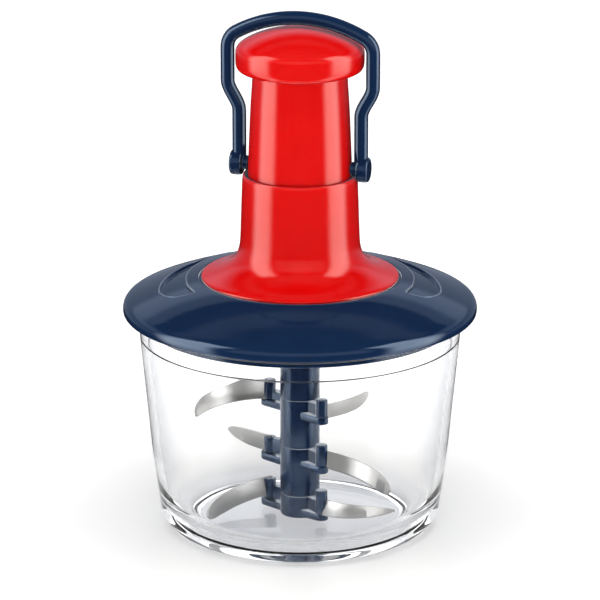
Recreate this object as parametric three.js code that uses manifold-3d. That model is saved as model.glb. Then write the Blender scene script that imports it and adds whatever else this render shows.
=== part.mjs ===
// Plunger food chopper: clear bowl, navy lid, red press plunger with a navy bail, and a shaft of six steel
// blades. Millimetres, +Z up, origin at the centre of the bowl's underside, front towards -Y.
import * as THREE from 'three';
import Module from 'manifold-3d';
import { mergeVertices } from 'three/addons/utils/BufferGeometryUtils.js';

const wasm = await Module();
wasm.setup();

// Shared values: the gap between seated pieces, and how far a cutting shape runs past what it cuts
const gap = 0.3;
const overrun = 20;
const bite = 1;
const halfShare = 0.5;
const fullTurn = Math.PI * 2;
const degree = Math.PI / 180;
const roundSides = 40;
const midSides = 26;
const smallSides = 14;
const discSides = 18;
const knobSides = 32;
const screwSides = 8;
const mergeTolerance = 0.0001;

// Bowl: a foot ring, a rounded corner, a wall that leans out, and a wider rim above a ledge
const bowl = {
  height: 128, mouthRadius: 91.3, wall: 4.6, bodyRadius: 80.1, bodyLow: 12.6, footRadius: 67,
  footWidth: 5.8, footRise: 1.6, footBevel: 1.4, floor: 2.8, dishInset: 4.6, dishWidth: 7.5, dishRise: 6,
  rimBore: 87.1, boreTaper: 0.3, ledgeDepth: 16.9, ledgeWidth: 1.3, ledgeRise: 0.9, rimRound: 1.4,
};
const bowlWallShares = [
  [0.196, 0.153], [0.42, 0.328], [0.571, 0.504], [0.723, 0.653], [0.839, 0.775], [0.911, 0.841],
];
const footCornerShares = [[0.32, 0.056], [0.58, 0.19], [0.794, 0.413], [0.924, 0.683]];
const dishShares = [[0.27, 0.083], [0.75, 0.7]];
const innerCornerShares = [[0.257, 0.061], [0.52, 0.184], [0.79, 0.45], [0.94, 0.77]];
const innerWallCount = 5;
const roundingShare = 0.3;
const bowlFloorTop = bowl.footRise + bowl.floor;

// Pin that stands in the bowl's floor
const pivotPin = {
  radius: 2.5, tipRadius: 1.5, length: 23.8, tipHeight: 1.2, flangeRadius: 6, flangeHeight: 1.2,
};
const pivotPinLow = bowlFloorTop - pivotPin.flangeHeight;
const pivotPinHigh = pivotPinLow + pivotPin.length;

// Lid: a shallow dome that rests on the bowl's rim by a land, with a lip outside it and a deck for the
// housing
const lid = {
  overhang: 8.7, restGap: 0.4, lipDrop: 2.3, lipRound: 1.5, lipWidth: 2.8, lipTaper: 0.4, lipHeight: 2.8,
  landInset: 0.5, landReach: 1, landTaper: 0.3, landHeight: 4.4, innerHeight: 6.2, deckRise: 16.9,
  deckWall: 3.1, deckMargin: 4.8, pocketGap: 1.5, ridgeHeight: 1.3, ridgeWidth: 1.5, ridgeEdge: 0.3,
  holeGap: 2.5,
};
const lipRoundShares = [[0.33, 0.73], [0.93, 1]];
const lidDomeShares = [
  [0, 0], [0.274, 0.181], [0.516, 0.346], [0.661, 0.447], [0.782, 0.527], [0.874, 0.596], [0.937, 0.665],
  [0.978, 0.755], [0.998, 0.851], [1, 1],
];
const recessDomeCount = 6;
const lidRadius = bowl.mouthRadius + lid.overhang;
const lidLandLow = bowl.height + lid.restGap;
const lidDeckTop = lidLandLow + lid.deckRise;
const lidDeckLow = lidDeckTop - lid.deckWall;
const lidLipLow = lidLandLow - lid.lipDrop;

// Finger recesses in the lid: depth, and their edge on the left as shares of the lid's radius and azimuths
// in degrees; the right one is the mirror image
const recess = { depth: 1.3 };
const recessSteps = 30;
const recessEdgeShares = [
  [0.729, 124], [0.726, 134], [0.724, 142], [0.736, 151], [0.757, 164], [0.782, 176], [0.799, 187],
  [0.794, 193], [0.774, 198.5], [0.744, 202.2], [0.704, 204.4], [0.67, 205.2], [0.646, 204.6],
  [0.642, 200], [0.643, 190], [0.643, 176], [0.645, 164], [0.653, 155], [0.67, 144], [0.696, 134],
];

// Blade shaft: a head, three carriers stacked on a steel rod, posts and blades; its shoulder is level with
// the underside of the lid's inner plate, which hangs below the bowl's rim by plate.drop
const shaft = {
  radius: 11.3, footGap: 0.5, footEdge: 1.6, headEdge: 0.8, hexFlat: 15.6, hexHeight: 5.3,
  lowestHeight: 13.15, carrierHeight: 28.95,
};
const coreRod = { radius: 5, headGap: 5, pinSpare: 3, footWall: 1.4 };
const post = { ring: 21.5, radius: 3.4 };
const arm = { endRadius: 5.1, thickness: 4.2, webWidth: 3.8, rootWidth: 15 };
const armSteps = 14;
const blade = { thickness: 1.1, tail: 1.6 };
const bladeStations = 14;
// Directions in which the left and right posts stand from the shaft's axis
const leftDegrees = 143.4;
const rightDegrees = -55.5;
// Each blade: its post's foot over its carrier's lower seam and the post's height, and how the strip
// leaves the post at level over that seam, turns, rises, leans and narrows to the tip
const topLeft = {
  postLow: 24.3, postHeight: 9.9, level: 28.9, length: 60.7, rise: -3.8, width: 10.36,
  headingDegrees: 174.2, turnDegrees: 92.1, leanDegrees: 109.9, fullShare: 0.41, tipShare: -0.22,
};
const topRight = {
  postLow: 22.5, postHeight: 10.3, level: 25, length: 46.3, rise: 0.3, width: 8.98, headingDegrees: 24.5,
  turnDegrees: 56.8, leanDegrees: 92.9, fullShare: 0.51, tipShare: -0.09,
};
const middleLeft = {
  postLow: 20.35, postHeight: 8.8, level: 24.95, length: 34.4, rise: 0.4, width: 11, headingDegrees: 146,
  turnDegrees: -19.6, leanDegrees: 82.7, fullShare: 0.15, tipShare: -0.02,
};
const middleRight = {
  postLow: 22.15, postHeight: 12.3, level: 25.85, length: 53.3, rise: -8.7, width: 10.25,
  headingDegrees: -9.1, turnDegrees: -67, leanDegrees: 78.3, fullShare: 0.68, tipShare: 0.23,
};
const bottomLeft = {
  postLow: 5.7, postHeight: 11.2, level: 12.3, length: 62, rise: -4.8, width: 11, headingDegrees: 205.4,
  turnDegrees: 58, leanDegrees: 100.3, fullShare: 0.69, tipShare: 0.28,
};
const bottomRight = {
  postLow: 6.2, postHeight: 13.9, level: 10.1, length: 46.1, rise: 2.8, width: 9.2, headingDegrees: -54.4,
  turnDegrees: 76.1, leanDegrees: 69.5, fullShare: 0.15, tipShare: -0.33,
};
const shaftLow = bowlFloorTop + shaft.footGap;
const lowestSeam = shaftLow + shaft.lowestHeight;
const middleSeam = lowestSeam + shaft.carrierHeight;
const topSeam = middleSeam + shaft.carrierHeight;

// Inner plate with the skirt that drops inside the bowl, its gasket and its screws
const plate = {
  drop: 9, thickness: 3.2, edge: 0.6, skirtGap: 1.6, skirtWall: 3.1, skirtTaper: 0.3, skirtTopGap: 0.5,
  holeGap: 2.2, holeWall: 2.4, holeHeight: 7.6, grooveRise: 2.4, grooveHeight: 3.6, grooveDepth: 1.6,
};
const plateLow = bowl.height - plate.drop;
const plateTop = plateLow + plate.thickness;
const skirtRadius = bowl.rimBore - plate.skirtGap;
const grooveRadius = skirtRadius - plate.grooveDepth;
const grooveLow = plateLow + plate.grooveRise;
const grooveHigh = grooveLow + plate.grooveHeight;
const gasketBevel = 0.9;
const plateScrew = { headRadius: 2.9, headHeight: 1.7, shankRadius: 1.2, length: 15 };
const plateScrewLow = plateLow - gap - plateScrew.headHeight;
const bossCount = 4;
const bossTurnDegrees = 45;
const lidBoss = { ring: 72, radius: 4.2, topDrop: 2.2, screwSpare: 2 };
const lidBossLow = plateTop + gap + gap;
const lidBossTop = lidDeckLow - lidBoss.topDrop;

// One-way clutch: a toothed disc on the spindle turns a toothed ring in the hub, whose socket turns the
// shaft's hexagon
const teethCount = 12;
const toothLeadDegrees = 1;
const clutch = { radius: 18.4, toothDepth: 2.8, height: 1.8, restGap: 0.4, sideGap: 0.4 };
const hub = {
  radius: 23.4, edge: 0.6, restGap: 1.4, socketGap: 0.35, socketRadius: 12.4, pocketRadius: 7.8,
  pocketHeight: 2.6, webThickness: 2, rimHeight: 3.2, rimWidth: 3.4, boreGap: 0.4, weld: 0.4,
  bandDrop: 0.2,
};
const clip = { radius: 7.2, thickness: 0.7, mouth: 4, webGap: 0.5 };
const bearing = { wall: 6, flangeReach: 1.7, flangeHeight: 1, sink: 0.3 };
const hexHigh = plateLow + shaft.hexHeight;
const hubLow = plateLow + hub.restGap;
const socketTop = hexHigh + gap;
const webLow = socketTop + hub.pocketHeight;
const webTop = webLow + hub.webThickness;
const hubTop = webTop + hub.rimHeight;
const ratchetLow = webTop + clutch.restGap;
const ratchetHigh = ratchetLow + clutch.height;
const bearingLow = ratchetHigh + gap;
const bearingNeck = bearingLow + bearing.flangeHeight;

// Spindle: foot with a clip groove, journal and collar, and a square bar twisted with a steady lead
const lead = 37.5;
const spindleSteps = 38;
const spindle = {
  side: 7, nutGap: 0.5, stemRadius: 3.9, stemBevel: 0.3, stemTip: 0.8, grooveDepth: 0.6, journalRadius: 6,
  journalGap: 0.1, collarRadius: 9, collarHeight: 1.3, collarGap: 0.4, collarEdge: 0.3, barSink: 0.1,
};
const clipHigh = webLow - clip.webGap;
const clipLow = clipHigh - clip.thickness;
const clutchBore = spindle.journalRadius + gap;
const bearingRadius = clutchBore + bearing.wall;

// Housing: cup that reaches down into the lid, flange, flared foot and sleeve in one moulding
const housing = {
  floor: 3.5, cupRadius: 36, cupBevel: 0.8, boreGap: 0.6, flangeRadius: 55.7, flangeRound: 0.7,
  flangeSide: 1.6, flangeEdge: 2.3, flareRadius: 33.6, flareRise: 22.4, sleeveHeight: 73,
  sleeveRadius: 32.4, sleeveEdge: 2.6, lipWidth: 0.4, mouthDepth: 8.3,
};
const flareShares = [
  [0.237, 0.065], [0.423, 0.139], [0.619, 0.244], [0.786, 0.383], [0.902, 0.557], [0.967, 0.751],
];
const sleeveWaistShares = [[0.5, 0.508]];
const sleeveLipShares = [[0.43, 0.73]];
const flangeSideShares = [[0.86, 0.375]];
const housingLow = bearingNeck + gap;
const housingFloorTop = housingLow + housing.floor;
const housingTop = housingLow + housing.sleeveHeight;
const flangeLow = lidDeckTop + gap;
const mouthSeat = housingTop - housing.mouthDepth;
const housingScrewCount = 4;
const housingScrew = {
  ring: 46.5, headRadius: 2.7, headHeight: 2, shankRadius: 1.25, length: 8.3, spare: 0.5,
};
const housingScrewLow = lidDeckLow - gap - housingScrew.headHeight;
const bearingHigh = housingFloorTop - bearing.sink;
const collarLow = bearingHigh + spindle.collarGap;
const collarHigh = collarLow + spindle.collarHeight;

// Plunger: nut at the barrel's foot, barrel, knob and their screws
const stroke = 56;
const nut = {
  discHeight: 3.1, spigotHeight: 5.7, hubRadius: 11, hubHeight: 8.6, keyWidth: 3.6, keyReach: 0.7,
  keyGap: 0.4, stopGap: 0.6,
};
const barrel = {
  radius: 29.3, footTaper: 0.1, footWall: 2.6, length: 122.7, topRadius: 26.4, topBevel: 0.7,
  topWall: 2.8, ceiling: 3.3, ceilingRound: 3, ceilingFillet: 1, thinRise: 58.4,
};
const barrelShares = [[0.138, 0.165], [0.276, 0.335], [0.448, 0.535], [0.655, 0.734], [0.897, 0.903]];
const barrelBoreShares = [[0.367, 0.366], [0.733, 0.793]];
const knob = {
  radius: 35.9, height: 25.1, sideLow: 5.2, sideHigh: 10.8, underRadius: 30.4, hollowRadius: 24.4,
  hollowTaper: 0.2, hollowRise: 9.4, vaultRadius: 20, vaultRise: 16.6, crownRadius: 8, crownRise: 19.8,
  postRadius: 6.6, postFlare: 0.2, postRise: 18.8,
};
const knobDomeShares = [
  [0.279, 0.056], [0.501, 0.175], [0.696, 0.336], [0.836, 0.503], [0.914, 0.622], [0.967, 0.734],
  [0.994, 0.867],
];
const knobUnderShares = [[0.073, 0.423], [0.309, 0.769], [0.745, 0.981]];
const knobScrew = {
  headRadius: 3.4, headHeight: 2.4, shankRadius: 1.4, length: 16.7, holeGap: 0.5, spare: 2,
};
const nutScrew = { radius: 1.3, length: 7.8, sink: 0.4 };
const guideRing = { wall: 1.35, runGap: 0.35, topDrop: 0.4 };
const housingBore = barrel.radius + housing.boreGap;
const guideBore = barrel.radius + guideRing.runGap;
const guideRadius = guideBore + guideRing.wall;
const nutLow = collarHigh + gap;
const nutDiscTop = nutLow + nut.discHeight;
const nutHubTop = nutDiscTop + nut.hubHeight;
const barrelLow = nutDiscTop + gap;
const barrelTop = barrelLow + barrel.length;
const barrelCeiling = barrelTop - barrel.ceiling;
const barrelFootRadius = barrel.radius - barrel.footTaper;
const barrelBore = barrelFootRadius - barrel.footWall;
const knobLow = barrelTop + gap;
const knobTop = knobLow + knob.height;
const knobScrewLow = barrelCeiling - gap - knobScrew.headHeight;
const spindleLow = collarHigh - spindle.barSink;
const spindleHigh = nutHubTop + stroke + nut.stopGap - gap;
const spindleStep = (spindleHigh - spindleLow) / spindleSteps;

// Spring seat on the spindle's end, and the return spring from it to the barrel's ceiling
const springSeat = { radius: 9.6, thickness: 2.8, spigotRadius: 5.6, spigotTaper: 0.4, spigotHeight: 3.7 };
const springSeatLow = spindleHigh + gap;
const springSeatTop = springSeatLow + springSeat.thickness;
const spring = { radius: 7.8, wireRadius: 0.9, topGap: 0.5 };
const springTurns = 9;
const springStations = 9;
const springSides = 5;

// Bail: a round rod bent in one plane, on two discs that turn on pins in the barrel
const bailYawDegrees = -14;
const bailSides = 10;
const bailSteps = { joggle: 5, corner: 4, crown: 5 };
const bailRod = {
  radius: 3.9, legInset: 2.1, knobGap: 1.8, crownGap: 1.1, crownRadius: 75, cornerRadius: 10, footRise: 3,
  joggleDrop: 7, joggleHeight: 17,
};
const bailDisc = { width: 6.9, radius: 7.2, edge: 0.9 };
const bailPin = {
  radius: 2.8, length: 13.4, collarRadius: 4, collarWidth: 2.8, collarGap: 0.5, inset: 1.2,
};
const bailAxisHeight = housingTop + bailPin.collarRadius + bailPin.collarGap;
const collarInner = barrel.radius + bailPin.collarGap;
const collarOuter = collarInner + bailPin.collarWidth;
const discInner = collarOuter + gap;
const discOuter = discInner + bailDisc.width;
const bailPinOuter = discOuter - bailPin.inset;
const bailPinInner = bailPinOuter - bailPin.length;
const legReach = discInner + bailRod.legInset;
const bailReach = knob.radius + bailRod.radius + bailRod.knobGap;
const joggleHigh = knobLow - bailRod.joggleDrop;
const joggleLow = joggleHigh - bailRod.joggleHeight;
const bailCrown = knobTop + bailRod.radius + bailRod.crownGap;

// Colours
const navy = 0x1b2b4f;
const red = 0xe01b1e;
const steel = 0xb9b7b2;
const clear = 0xe8edf0;
const natural = 0xe6e2d6;
const dark = 0x14161c;

const group = new THREE.Group();

// Mesh helpers
function closedGeometry(source) {
  const bare = source.index ? source.toNonIndexed() : source.clone();
  bare.deleteAttribute('normal');
  bare.deleteAttribute('uv');
  const merged = mergeVertices(bare, mergeTolerance);
  const kept = [];
  const index = merged.index.array;
  for (let i = 0; i < index.length; i += 3) {
    const [a, b, c] = [index[i], index[i + 1], index[i + 2]];
    if (a !== b && b !== c && c !== a) kept.push(a, b, c);
  }
  merged.setIndex(kept);
  if (signedVolume(merged) < 0) turnOver(merged);
  return merged;
}

function signedVolume(geometry) {
  const p = geometry.attributes.position;
  const index = geometry.index.array;
  const [a, b, c] = [new THREE.Vector3(), new THREE.Vector3(), new THREE.Vector3()];
  let sum = 0;
  for (let i = 0; i < index.length; i += 3) {
    a.fromBufferAttribute(p, index[i]);
    b.fromBufferAttribute(p, index[i + 1]);
    c.fromBufferAttribute(p, index[i + 2]);
    sum += a.dot(b.cross(c));
  }
  return sum;
}

function turnOver(geometry) {
  const index = Array.from(geometry.index.array);
  for (let i = 0; i < index.length; i += 3) {
    [index[i], index[i + 1]] = [index[i + 1], index[i]];
  }
  geometry.setIndex(index);
}

function solid(geometry) {
  const closed = closedGeometry(geometry);
  const vertProperties = Float32Array.from(closed.attributes.position.array);
  const triVerts = Uint32Array.from(closed.index.array);
  return new wasm.Manifold(new wasm.Mesh({ numProp: 3, vertProperties, triVerts }));
}

function geometryOf(manifold) {
  const mesh = manifold.getMesh();
  const geometry = new THREE.BufferGeometry();
  geometry.setAttribute('position', new THREE.BufferAttribute(Float32Array.from(mesh.vertProperties), 3));
  geometry.setIndex(Array.from(mesh.triVerts));
  return geometry;
}

function addNode(name, geometry, colour) {
  const closed = closedGeometry(geometry);
  closed.computeVertexNormals();
  const material = new THREE.MeshStandardMaterial({ color: colour, roughness: halfShare });
  const mesh = new THREE.Mesh(closed, material);
  mesh.name = name;
  group.add(mesh);
}

// Points between two corners, as shares of the way in radius and in height
function along(from, to, shares) {
  return shares.map(([r, z]) => [from[0] + (to[0] - from[0]) * r, from[1] + (to[1] - from[1]) * z]);
}

// Turned shape about Z from [radius, height] points
function turned(outline, sides = roundSides) {
  const points = outline.map(([r, z]) => new THREE.Vector2(r, z));
  const onAxis = outline[0][0] === 0 && outline[outline.length - 1][0] === 0;
  if (!onAxis) points.push(points[0].clone());
  const geometry = new THREE.LatheGeometry(points, sides);
  geometry.rotateX(Math.PI / 2);
  return geometry;
}

function cylinder(radius, low, high, sides = smallSides) {
  return turned([[0, low], [radius, low], [radius, high], [0, high]], sides);
}

function ring(inner, outer, low, high, sides = midSides) {
  return turned([[inner, low], [outer, low], [outer, high], [inner, high]], sides);
}

function box(sizeX, sizeY, sizeZ, x, y, z) {
  const geometry = new THREE.BoxGeometry(sizeX, sizeY, sizeZ);
  geometry.translate(x, y, z);
  return geometry;
}

// Slab from plan points, between two heights
function slab(points, low, high) {
  const shape = new THREE.Shape(points.map(([x, y]) => new THREE.Vector2(x, y)));
  const geometry = new THREE.ExtrudeGeometry(shape, { depth: high - low, bevelEnabled: false, steps: 1 });
  geometry.translate(0, 0, low);
  return geometry;
}

// Skin over a row of closed loops with the same number of points, closed by a fan at each end
function loft(loops) {
  const count = loops[0].length;
  const position = [];
  const index = [];
  loops.forEach((loop) => loop.forEach((p) => position.push(p.x, p.y, p.z)));
  for (let i = 0; i < loops.length - 1; i += 1) {
    for (let j = 0; j < count; j += 1) {
      const next = (j + 1) % count;
      const a = i * count + j;
      const b = i * count + next;
      index.push(a, b, a + count, b, b + count, a + count);
    }
  }
  const last = (loops.length - 1) * count;
  for (let j = 1; j < count - 1; j += 1) {
    index.push(0, j + 1, j, last, last + j, last + j + 1);
  }
  const geometry = new THREE.BufferGeometry();
  geometry.setAttribute('position', new THREE.BufferAttribute(new Float32Array(position), 3));
  geometry.setIndex(index);
  return geometry;
}

// Round rod along a row of points; side is a direction that the path never runs along
function rod(path, radius, sides, side) {
  const loops = path.map((point, i) => {
    const before = path[Math.max(i - 1, 0)];
    const after = path[Math.min(i + 1, path.length - 1)];
    const along = after.clone().sub(before).normalize();
    const first = side.clone().cross(along).normalize();
    const second = along.clone().cross(first);
    return Array.from({ length: sides }, (unused, j) => {
      const angle = fullTurn * j / sides;
      const across = first.clone().multiplyScalar(Math.cos(angle) * radius);
      return point.clone().add(across).add(second.clone().multiplyScalar(Math.sin(angle) * radius));
    });
  });
  return loft(loops);
}

function polar(radius, azimuth) {
  return [radius * Math.cos(azimuth * degree), radius * Math.sin(azimuth * degree)];
}

function ringAngles(count, start) {
  return Array.from({ length: count }, (unused, i) => start + 360 * i / count);
}

function moved(geometry, x, y, z) {
  geometry.translate(x, y, z);
  return geometry;
}

// Cap screw pointing up from the underside of its head, with a straight slot in the head
function screwUp(values, low) {
  const headTop = low + values.headHeight;
  const tip = low + values.length;
  const outline = [
    [0, low], [values.headRadius, low], [values.headRadius, headTop], [values.shankRadius, headTop],
    [values.shankRadius, tip - values.shankRadius], [0, tip],
  ];
  const slotDepth = values.headHeight * halfShare;
  const slot = box(values.headRadius * 3, values.shankRadius * halfShare, slotDepth, 0, 0, low);
  return geometryOf(solid(turned(outline, screwSides)).subtract(solid(slot)));
}

// Bowl and its centre pin
function bowlOutline() {
  const body = [bowl.bodyRadius, bowl.bodyLow];
  const lip = [bowl.mouthRadius, bowl.height - bowl.rimRound];
  const foot = [bowl.footRadius, 0];
  const wall = along(body, lip, bowlWallShares);
  const innerWall = wall.slice(0, innerWallCount).map(([r, z]) => [r - bowl.wall, z]).reverse();
  const footInner = bowl.footRadius - bowl.footWidth;
  const recess = footInner - bowl.footBevel;
  const dishStart = [footInner - bowl.dishInset, bowlFloorTop];
  const dishEnd = [dishStart[0] + bowl.dishWidth, bowlFloorTop + bowl.dishRise];
  const bore = bowl.rimBore;
  const ledge = bowl.height - bowl.ledgeDepth;
  const ledgeRadius = bore - bowl.boreTaper;
  const round = bowl.rimRound * roundingShare;
  return [
    [0, bowl.footRise], [recess, bowl.footRise], [footInner, 0], foot,
    ...along(foot, body, footCornerShares), body,
    ...wall, lip, [bowl.mouthRadius - round, bowl.height - round],
    [bowl.mouthRadius - bowl.rimRound, bowl.height],
    [bore + bowl.rimRound, bowl.height], [bore + round, bowl.height - round],
    [bore, bowl.height - bowl.rimRound],
    [ledgeRadius, ledge + bowl.ledgeRise], [ledgeRadius - bowl.ledgeWidth, ledge], ...innerWall,
    ...along(dishEnd, innerWall[innerWall.length - 1], innerCornerShares).reverse(), dishEnd,
    ...along(dishStart, dishEnd, dishShares).reverse(), dishStart, [0, bowlFloorTop],
  ];
}

function buildBowl() {
  const outside = solid(turned(bowlOutline()));
  const hollow = cylinder(pivotPin.flangeRadius + gap, pivotPinLow - gap, bowlFloorTop + gap);
  addNode('bowl', geometryOf(outside.subtract(solid(hollow))), clear);
  const outline = [
    [0, pivotPinLow], [pivotPin.flangeRadius, pivotPinLow], [pivotPin.flangeRadius, bowlFloorTop],
    [pivotPin.radius, bowlFloorTop], [pivotPin.radius, pivotPinHigh - pivotPin.tipHeight],
    [pivotPin.tipRadius, pivotPinHigh], [0, pivotPinHigh],
  ];
  addNode('bowl_pivot_pin', turned(outline, smallSides), steel);
}

// Lid cover with its bosses and the two finger recesses
function recessPoints(mirror) {
  const points = recessEdgeShares.map(([share, azimuth]) => {
    const [x, y] = polar(share * lidRadius, azimuth);
    return new THREE.Vector3(mirror * x, y, 0);
  });
  const curve = new THREE.CatmullRomCurve3(points, true, 'centripetal');
  return curve.getSpacedPoints(recessSteps).slice(0, -1).map((p) => [p.x, p.y]);
}

// Dome of the lid, from the ridge round its deck out and down to the lip
function lidDome() {
  const ridgeEnd = housing.flangeRadius + lid.pocketGap + lid.ridgeWidth;
  const start = [ridgeEnd, lidDeckTop + lid.ridgeHeight - lid.ridgeEdge * halfShare];
  return along(start, [lidRadius, lidLipLow + lid.lipRound], lidDomeShares);
}

function lidOutline() {
  const pocket = housing.flangeRadius + lid.pocketGap;
  const ridgeTop = lidDeckTop + lid.ridgeHeight;
  const hole = housing.cupRadius + lid.holeGap;
  const side = [lidRadius, lidLipLow + lid.lipRound];
  const lipOuter = [lidRadius - lid.lipRound, lidLipLow];
  const lipInner = lidRadius - lid.lipWidth;
  const landOuter = bowl.mouthRadius + lid.landReach;
  const landInner = bowl.rimBore - lid.landInset;
  return [
    [hole, lidDeckTop], [pocket, lidDeckTop], [pocket, ridgeTop - lid.ridgeEdge],
    [pocket + lid.ridgeWidth * halfShare, ridgeTop], ...lidDome(),
    ...along(side, lipOuter, lipRoundShares),
    [lipInner, lidLipLow], [lipInner - lid.lipTaper, lidLandLow + lid.lipHeight],
    [landOuter + lid.landTaper, lidLandLow + lid.landHeight], [landOuter, lidLandLow],
    [landInner, lidLandLow],
    [landInner - lid.landTaper, lidLandLow + lid.innerHeight],
    [housing.flangeRadius + lid.deckMargin, lidDeckLow], [hole, lidDeckLow],
  ];
}

function buildLid() {
  let cover = solid(turned(lidOutline()));
  const recessFloor = lidDome().slice(0, recessDomeCount).map(([r, z]) => [r, z - recess.depth]);
  const recessTop = lidDeckTop + overrun;
  const outer = recessFloor[recessFloor.length - 1][0];
  const above = solid(turned([[recessFloor[0][0], recessTop], ...recessFloor, [outer, recessTop]]));
  for (const mirror of [1, -1]) {
    const prism = solid(slab(recessPoints(mirror), lidBossLow, recessTop));
    cover = cover.subtract(prism.intersect(above));
  }
  const holeTop = plateScrewLow + plateScrew.length + lidBoss.screwSpare;
  for (const azimuth of ringAngles(bossCount, bossTurnDegrees)) {
    const [x, y] = polar(lidBoss.ring, azimuth);
    const hole = cylinder(plateScrew.shankRadius + gap, lidBossLow - gap, holeTop);
    cover = cover.add(solid(moved(cylinder(lidBoss.radius, lidBossLow, lidBossTop), x, y, 0)));
    cover = cover.subtract(solid(moved(hole, x, y, 0)));
  }
  for (const azimuth of ringAngles(housingScrewCount, 0)) {
    const [x, y] = polar(housingScrew.ring, azimuth);
    const hole = cylinder(housingScrew.shankRadius + gap, lidDeckLow - bite, lidDeckTop + bite, screwSides);
    cover = cover.subtract(solid(moved(hole, x, y, 0)));
  }
  addNode('lid_cover', geometryOf(cover), navy);
}

function plateOutline() {
  const hole = hub.radius + plate.holeGap;
  const lip = hole + plate.holeWall;
  const skirtInner = skirtRadius - plate.skirtWall;
  const skirtTop = lidLandLow - plate.skirtTopGap;
  return [
    [hole, plateLow + plate.edge], [hole + plate.edge, plateLow], [skirtRadius - plate.edge, plateLow],
    [skirtRadius, plateLow + plate.edge], [skirtRadius, grooveLow], [grooveRadius, grooveLow],
    [grooveRadius, grooveHigh], [skirtRadius, grooveHigh], [skirtRadius, skirtTop], [skirtInner, skirtTop],
    [skirtInner - plate.skirtTaper, plateTop], [lip, plateTop], [lip, plateLow + plate.holeHeight],
    [hole, plateLow + plate.holeHeight],
  ];
}

function buildInnerPlate() {
  let body = solid(turned(plateOutline()));
  ringAngles(bossCount, bossTurnDegrees).forEach((azimuth, i) => {
    const [x, y] = polar(lidBoss.ring, azimuth);
    const hole = cylinder(plateScrew.shankRadius + gap + gap, plateLow - bite, plateTop + bite, screwSides);
    body = body.subtract(solid(moved(hole, x, y, 0)));
    addNode(`inner_plate_screw_${i + 1}`, moved(screwUp(plateScrew, plateScrewLow), x, y, 0), steel);
  });
  addNode('lid_inner_plate', geometryOf(body), navy);
  const inner = grooveRadius + gap;
  const outer = bowl.rimBore - gap;
  const low = grooveLow + gap;
  const high = grooveHigh - gap;
  const outline = [
    [inner, low], [outer - gasketBevel, low], [outer, low + gasketBevel], [outer, high - gasketBevel],
    [outer - gasketBevel, high], [inner, high],
  ];
  addNode('lid_gasket', turned(outline, roundSides), dark);
}

// Housing with keyways, its screws and the guide ring at its mouth
function housingOutline() {
  const shaftHole = bearingRadius + gap;
  const edge = [housing.flangeRadius - housing.flangeRound, flangeLow];
  const side = [housing.flangeRadius, flangeLow + housing.flangeSide];
  const flareStart = [housing.flangeRadius - housing.flangeRound, flangeLow + housing.flangeEdge];
  const flareEnd = [housing.flareRadius, flangeLow + housing.flareRise];
  const sleeveEnd = [housing.sleeveRadius, housingTop - housing.sleeveEdge];
  const mouth = guideRadius + gap;
  const lip = [mouth + housing.lipWidth, housingTop];
  return [
    [shaftHole, housingLow], [housing.cupRadius - housing.cupBevel, housingLow],
    [housing.cupRadius, housingLow + housing.cupBevel], [housing.cupRadius, flangeLow], edge,
    ...along(edge, side, flangeSideShares), side, flareStart, ...along(flareStart, flareEnd, flareShares),
    flareEnd,
    ...along(flareEnd, sleeveEnd, sleeveWaistShares), sleeveEnd,
    ...along(sleeveEnd, lip, sleeveLipShares), lip,
    [mouth, housingTop], [mouth, mouthSeat], [housingBore, mouthSeat], [housingBore, housingFloorTop],
    [shaftHole, housingFloorTop],
  ];
}

function buildHousing() {
  let body = solid(turned(housingOutline()));
  const reach = housingBore + nut.keyReach + nut.keyGap;
  const low = housingFloorTop - gap;
  const high = mouthSeat + gap;
  const groove = box(reach * 2, nut.keyWidth + nut.keyGap * 2, high - low, 0, 0, (low + high) * halfShare);
  const core = cylinder(barrel.radius, low, high, midSides);
  body = body.subtract(solid(groove).subtract(solid(core)));
  const pilotTop = housingScrewLow + housingScrew.length + housingScrew.spare;
  ringAngles(housingScrewCount, 0).forEach((azimuth, i) => {
    const [x, y] = polar(housingScrew.ring, azimuth);
    const hole = cylinder(housingScrew.shankRadius + gap, flangeLow - bite, pilotTop, screwSides);
    body = body.subtract(solid(moved(hole, x, y, 0)));
    addNode(`housing_screw_${i + 1}`, moved(screwUp(housingScrew, housingScrewLow), x, y, 0), steel);
  });
  addNode('drive_housing', geometryOf(body), red);
  const guideTop = housingTop - guideRing.topDrop;
  addNode('sleeve_guide_ring', ring(guideBore, guideRadius, mouthSeat + gap, guideTop, roundSides), dark);
}

// Places a shape turned about Z so that its axis runs out along the bail's axis, to one side
function alongBailAxis(geometry, sign) {
  geometry.rotateY(sign * Math.PI / 2);
  geometry.rotateZ(bailYawDegrees * degree);
  geometry.translate(0, 0, bailAxisHeight);
  return geometry;
}

function alongX(geometry, sign, height) {
  geometry.rotateY(sign * Math.PI / 2);
  geometry.translate(0, 0, height);
  return geometry;
}

// Knob, barrel, nut and fixings
function knobOutline() {
  const high = [knob.radius, knobLow + knob.sideHigh];
  const low = [knob.radius, knobLow + knob.sideLow];
  const under = [knob.underRadius, knobLow];
  const hole = knobScrew.shankRadius + gap;
  const holeTop = knobScrewLow + knobScrew.length + knobScrew.spare;
  return [
    [0, knobTop], ...along([0, knobTop], high, knobDomeShares), high, low,
    ...along(low, under, knobUnderShares),
    under, [knob.hollowRadius, knobLow], [knob.hollowRadius - knob.hollowTaper, knobLow + knob.hollowRise],
    [knob.vaultRadius, knobLow + knob.vaultRise], [knob.crownRadius, knobLow + knob.crownRise],
    [knob.postRadius + knob.postFlare, knobLow + knob.postRise], [knob.postRadius, knobLow],
    [hole, knobLow],
    [hole, holeTop], [0, holeTop],
  ];
}

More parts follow.
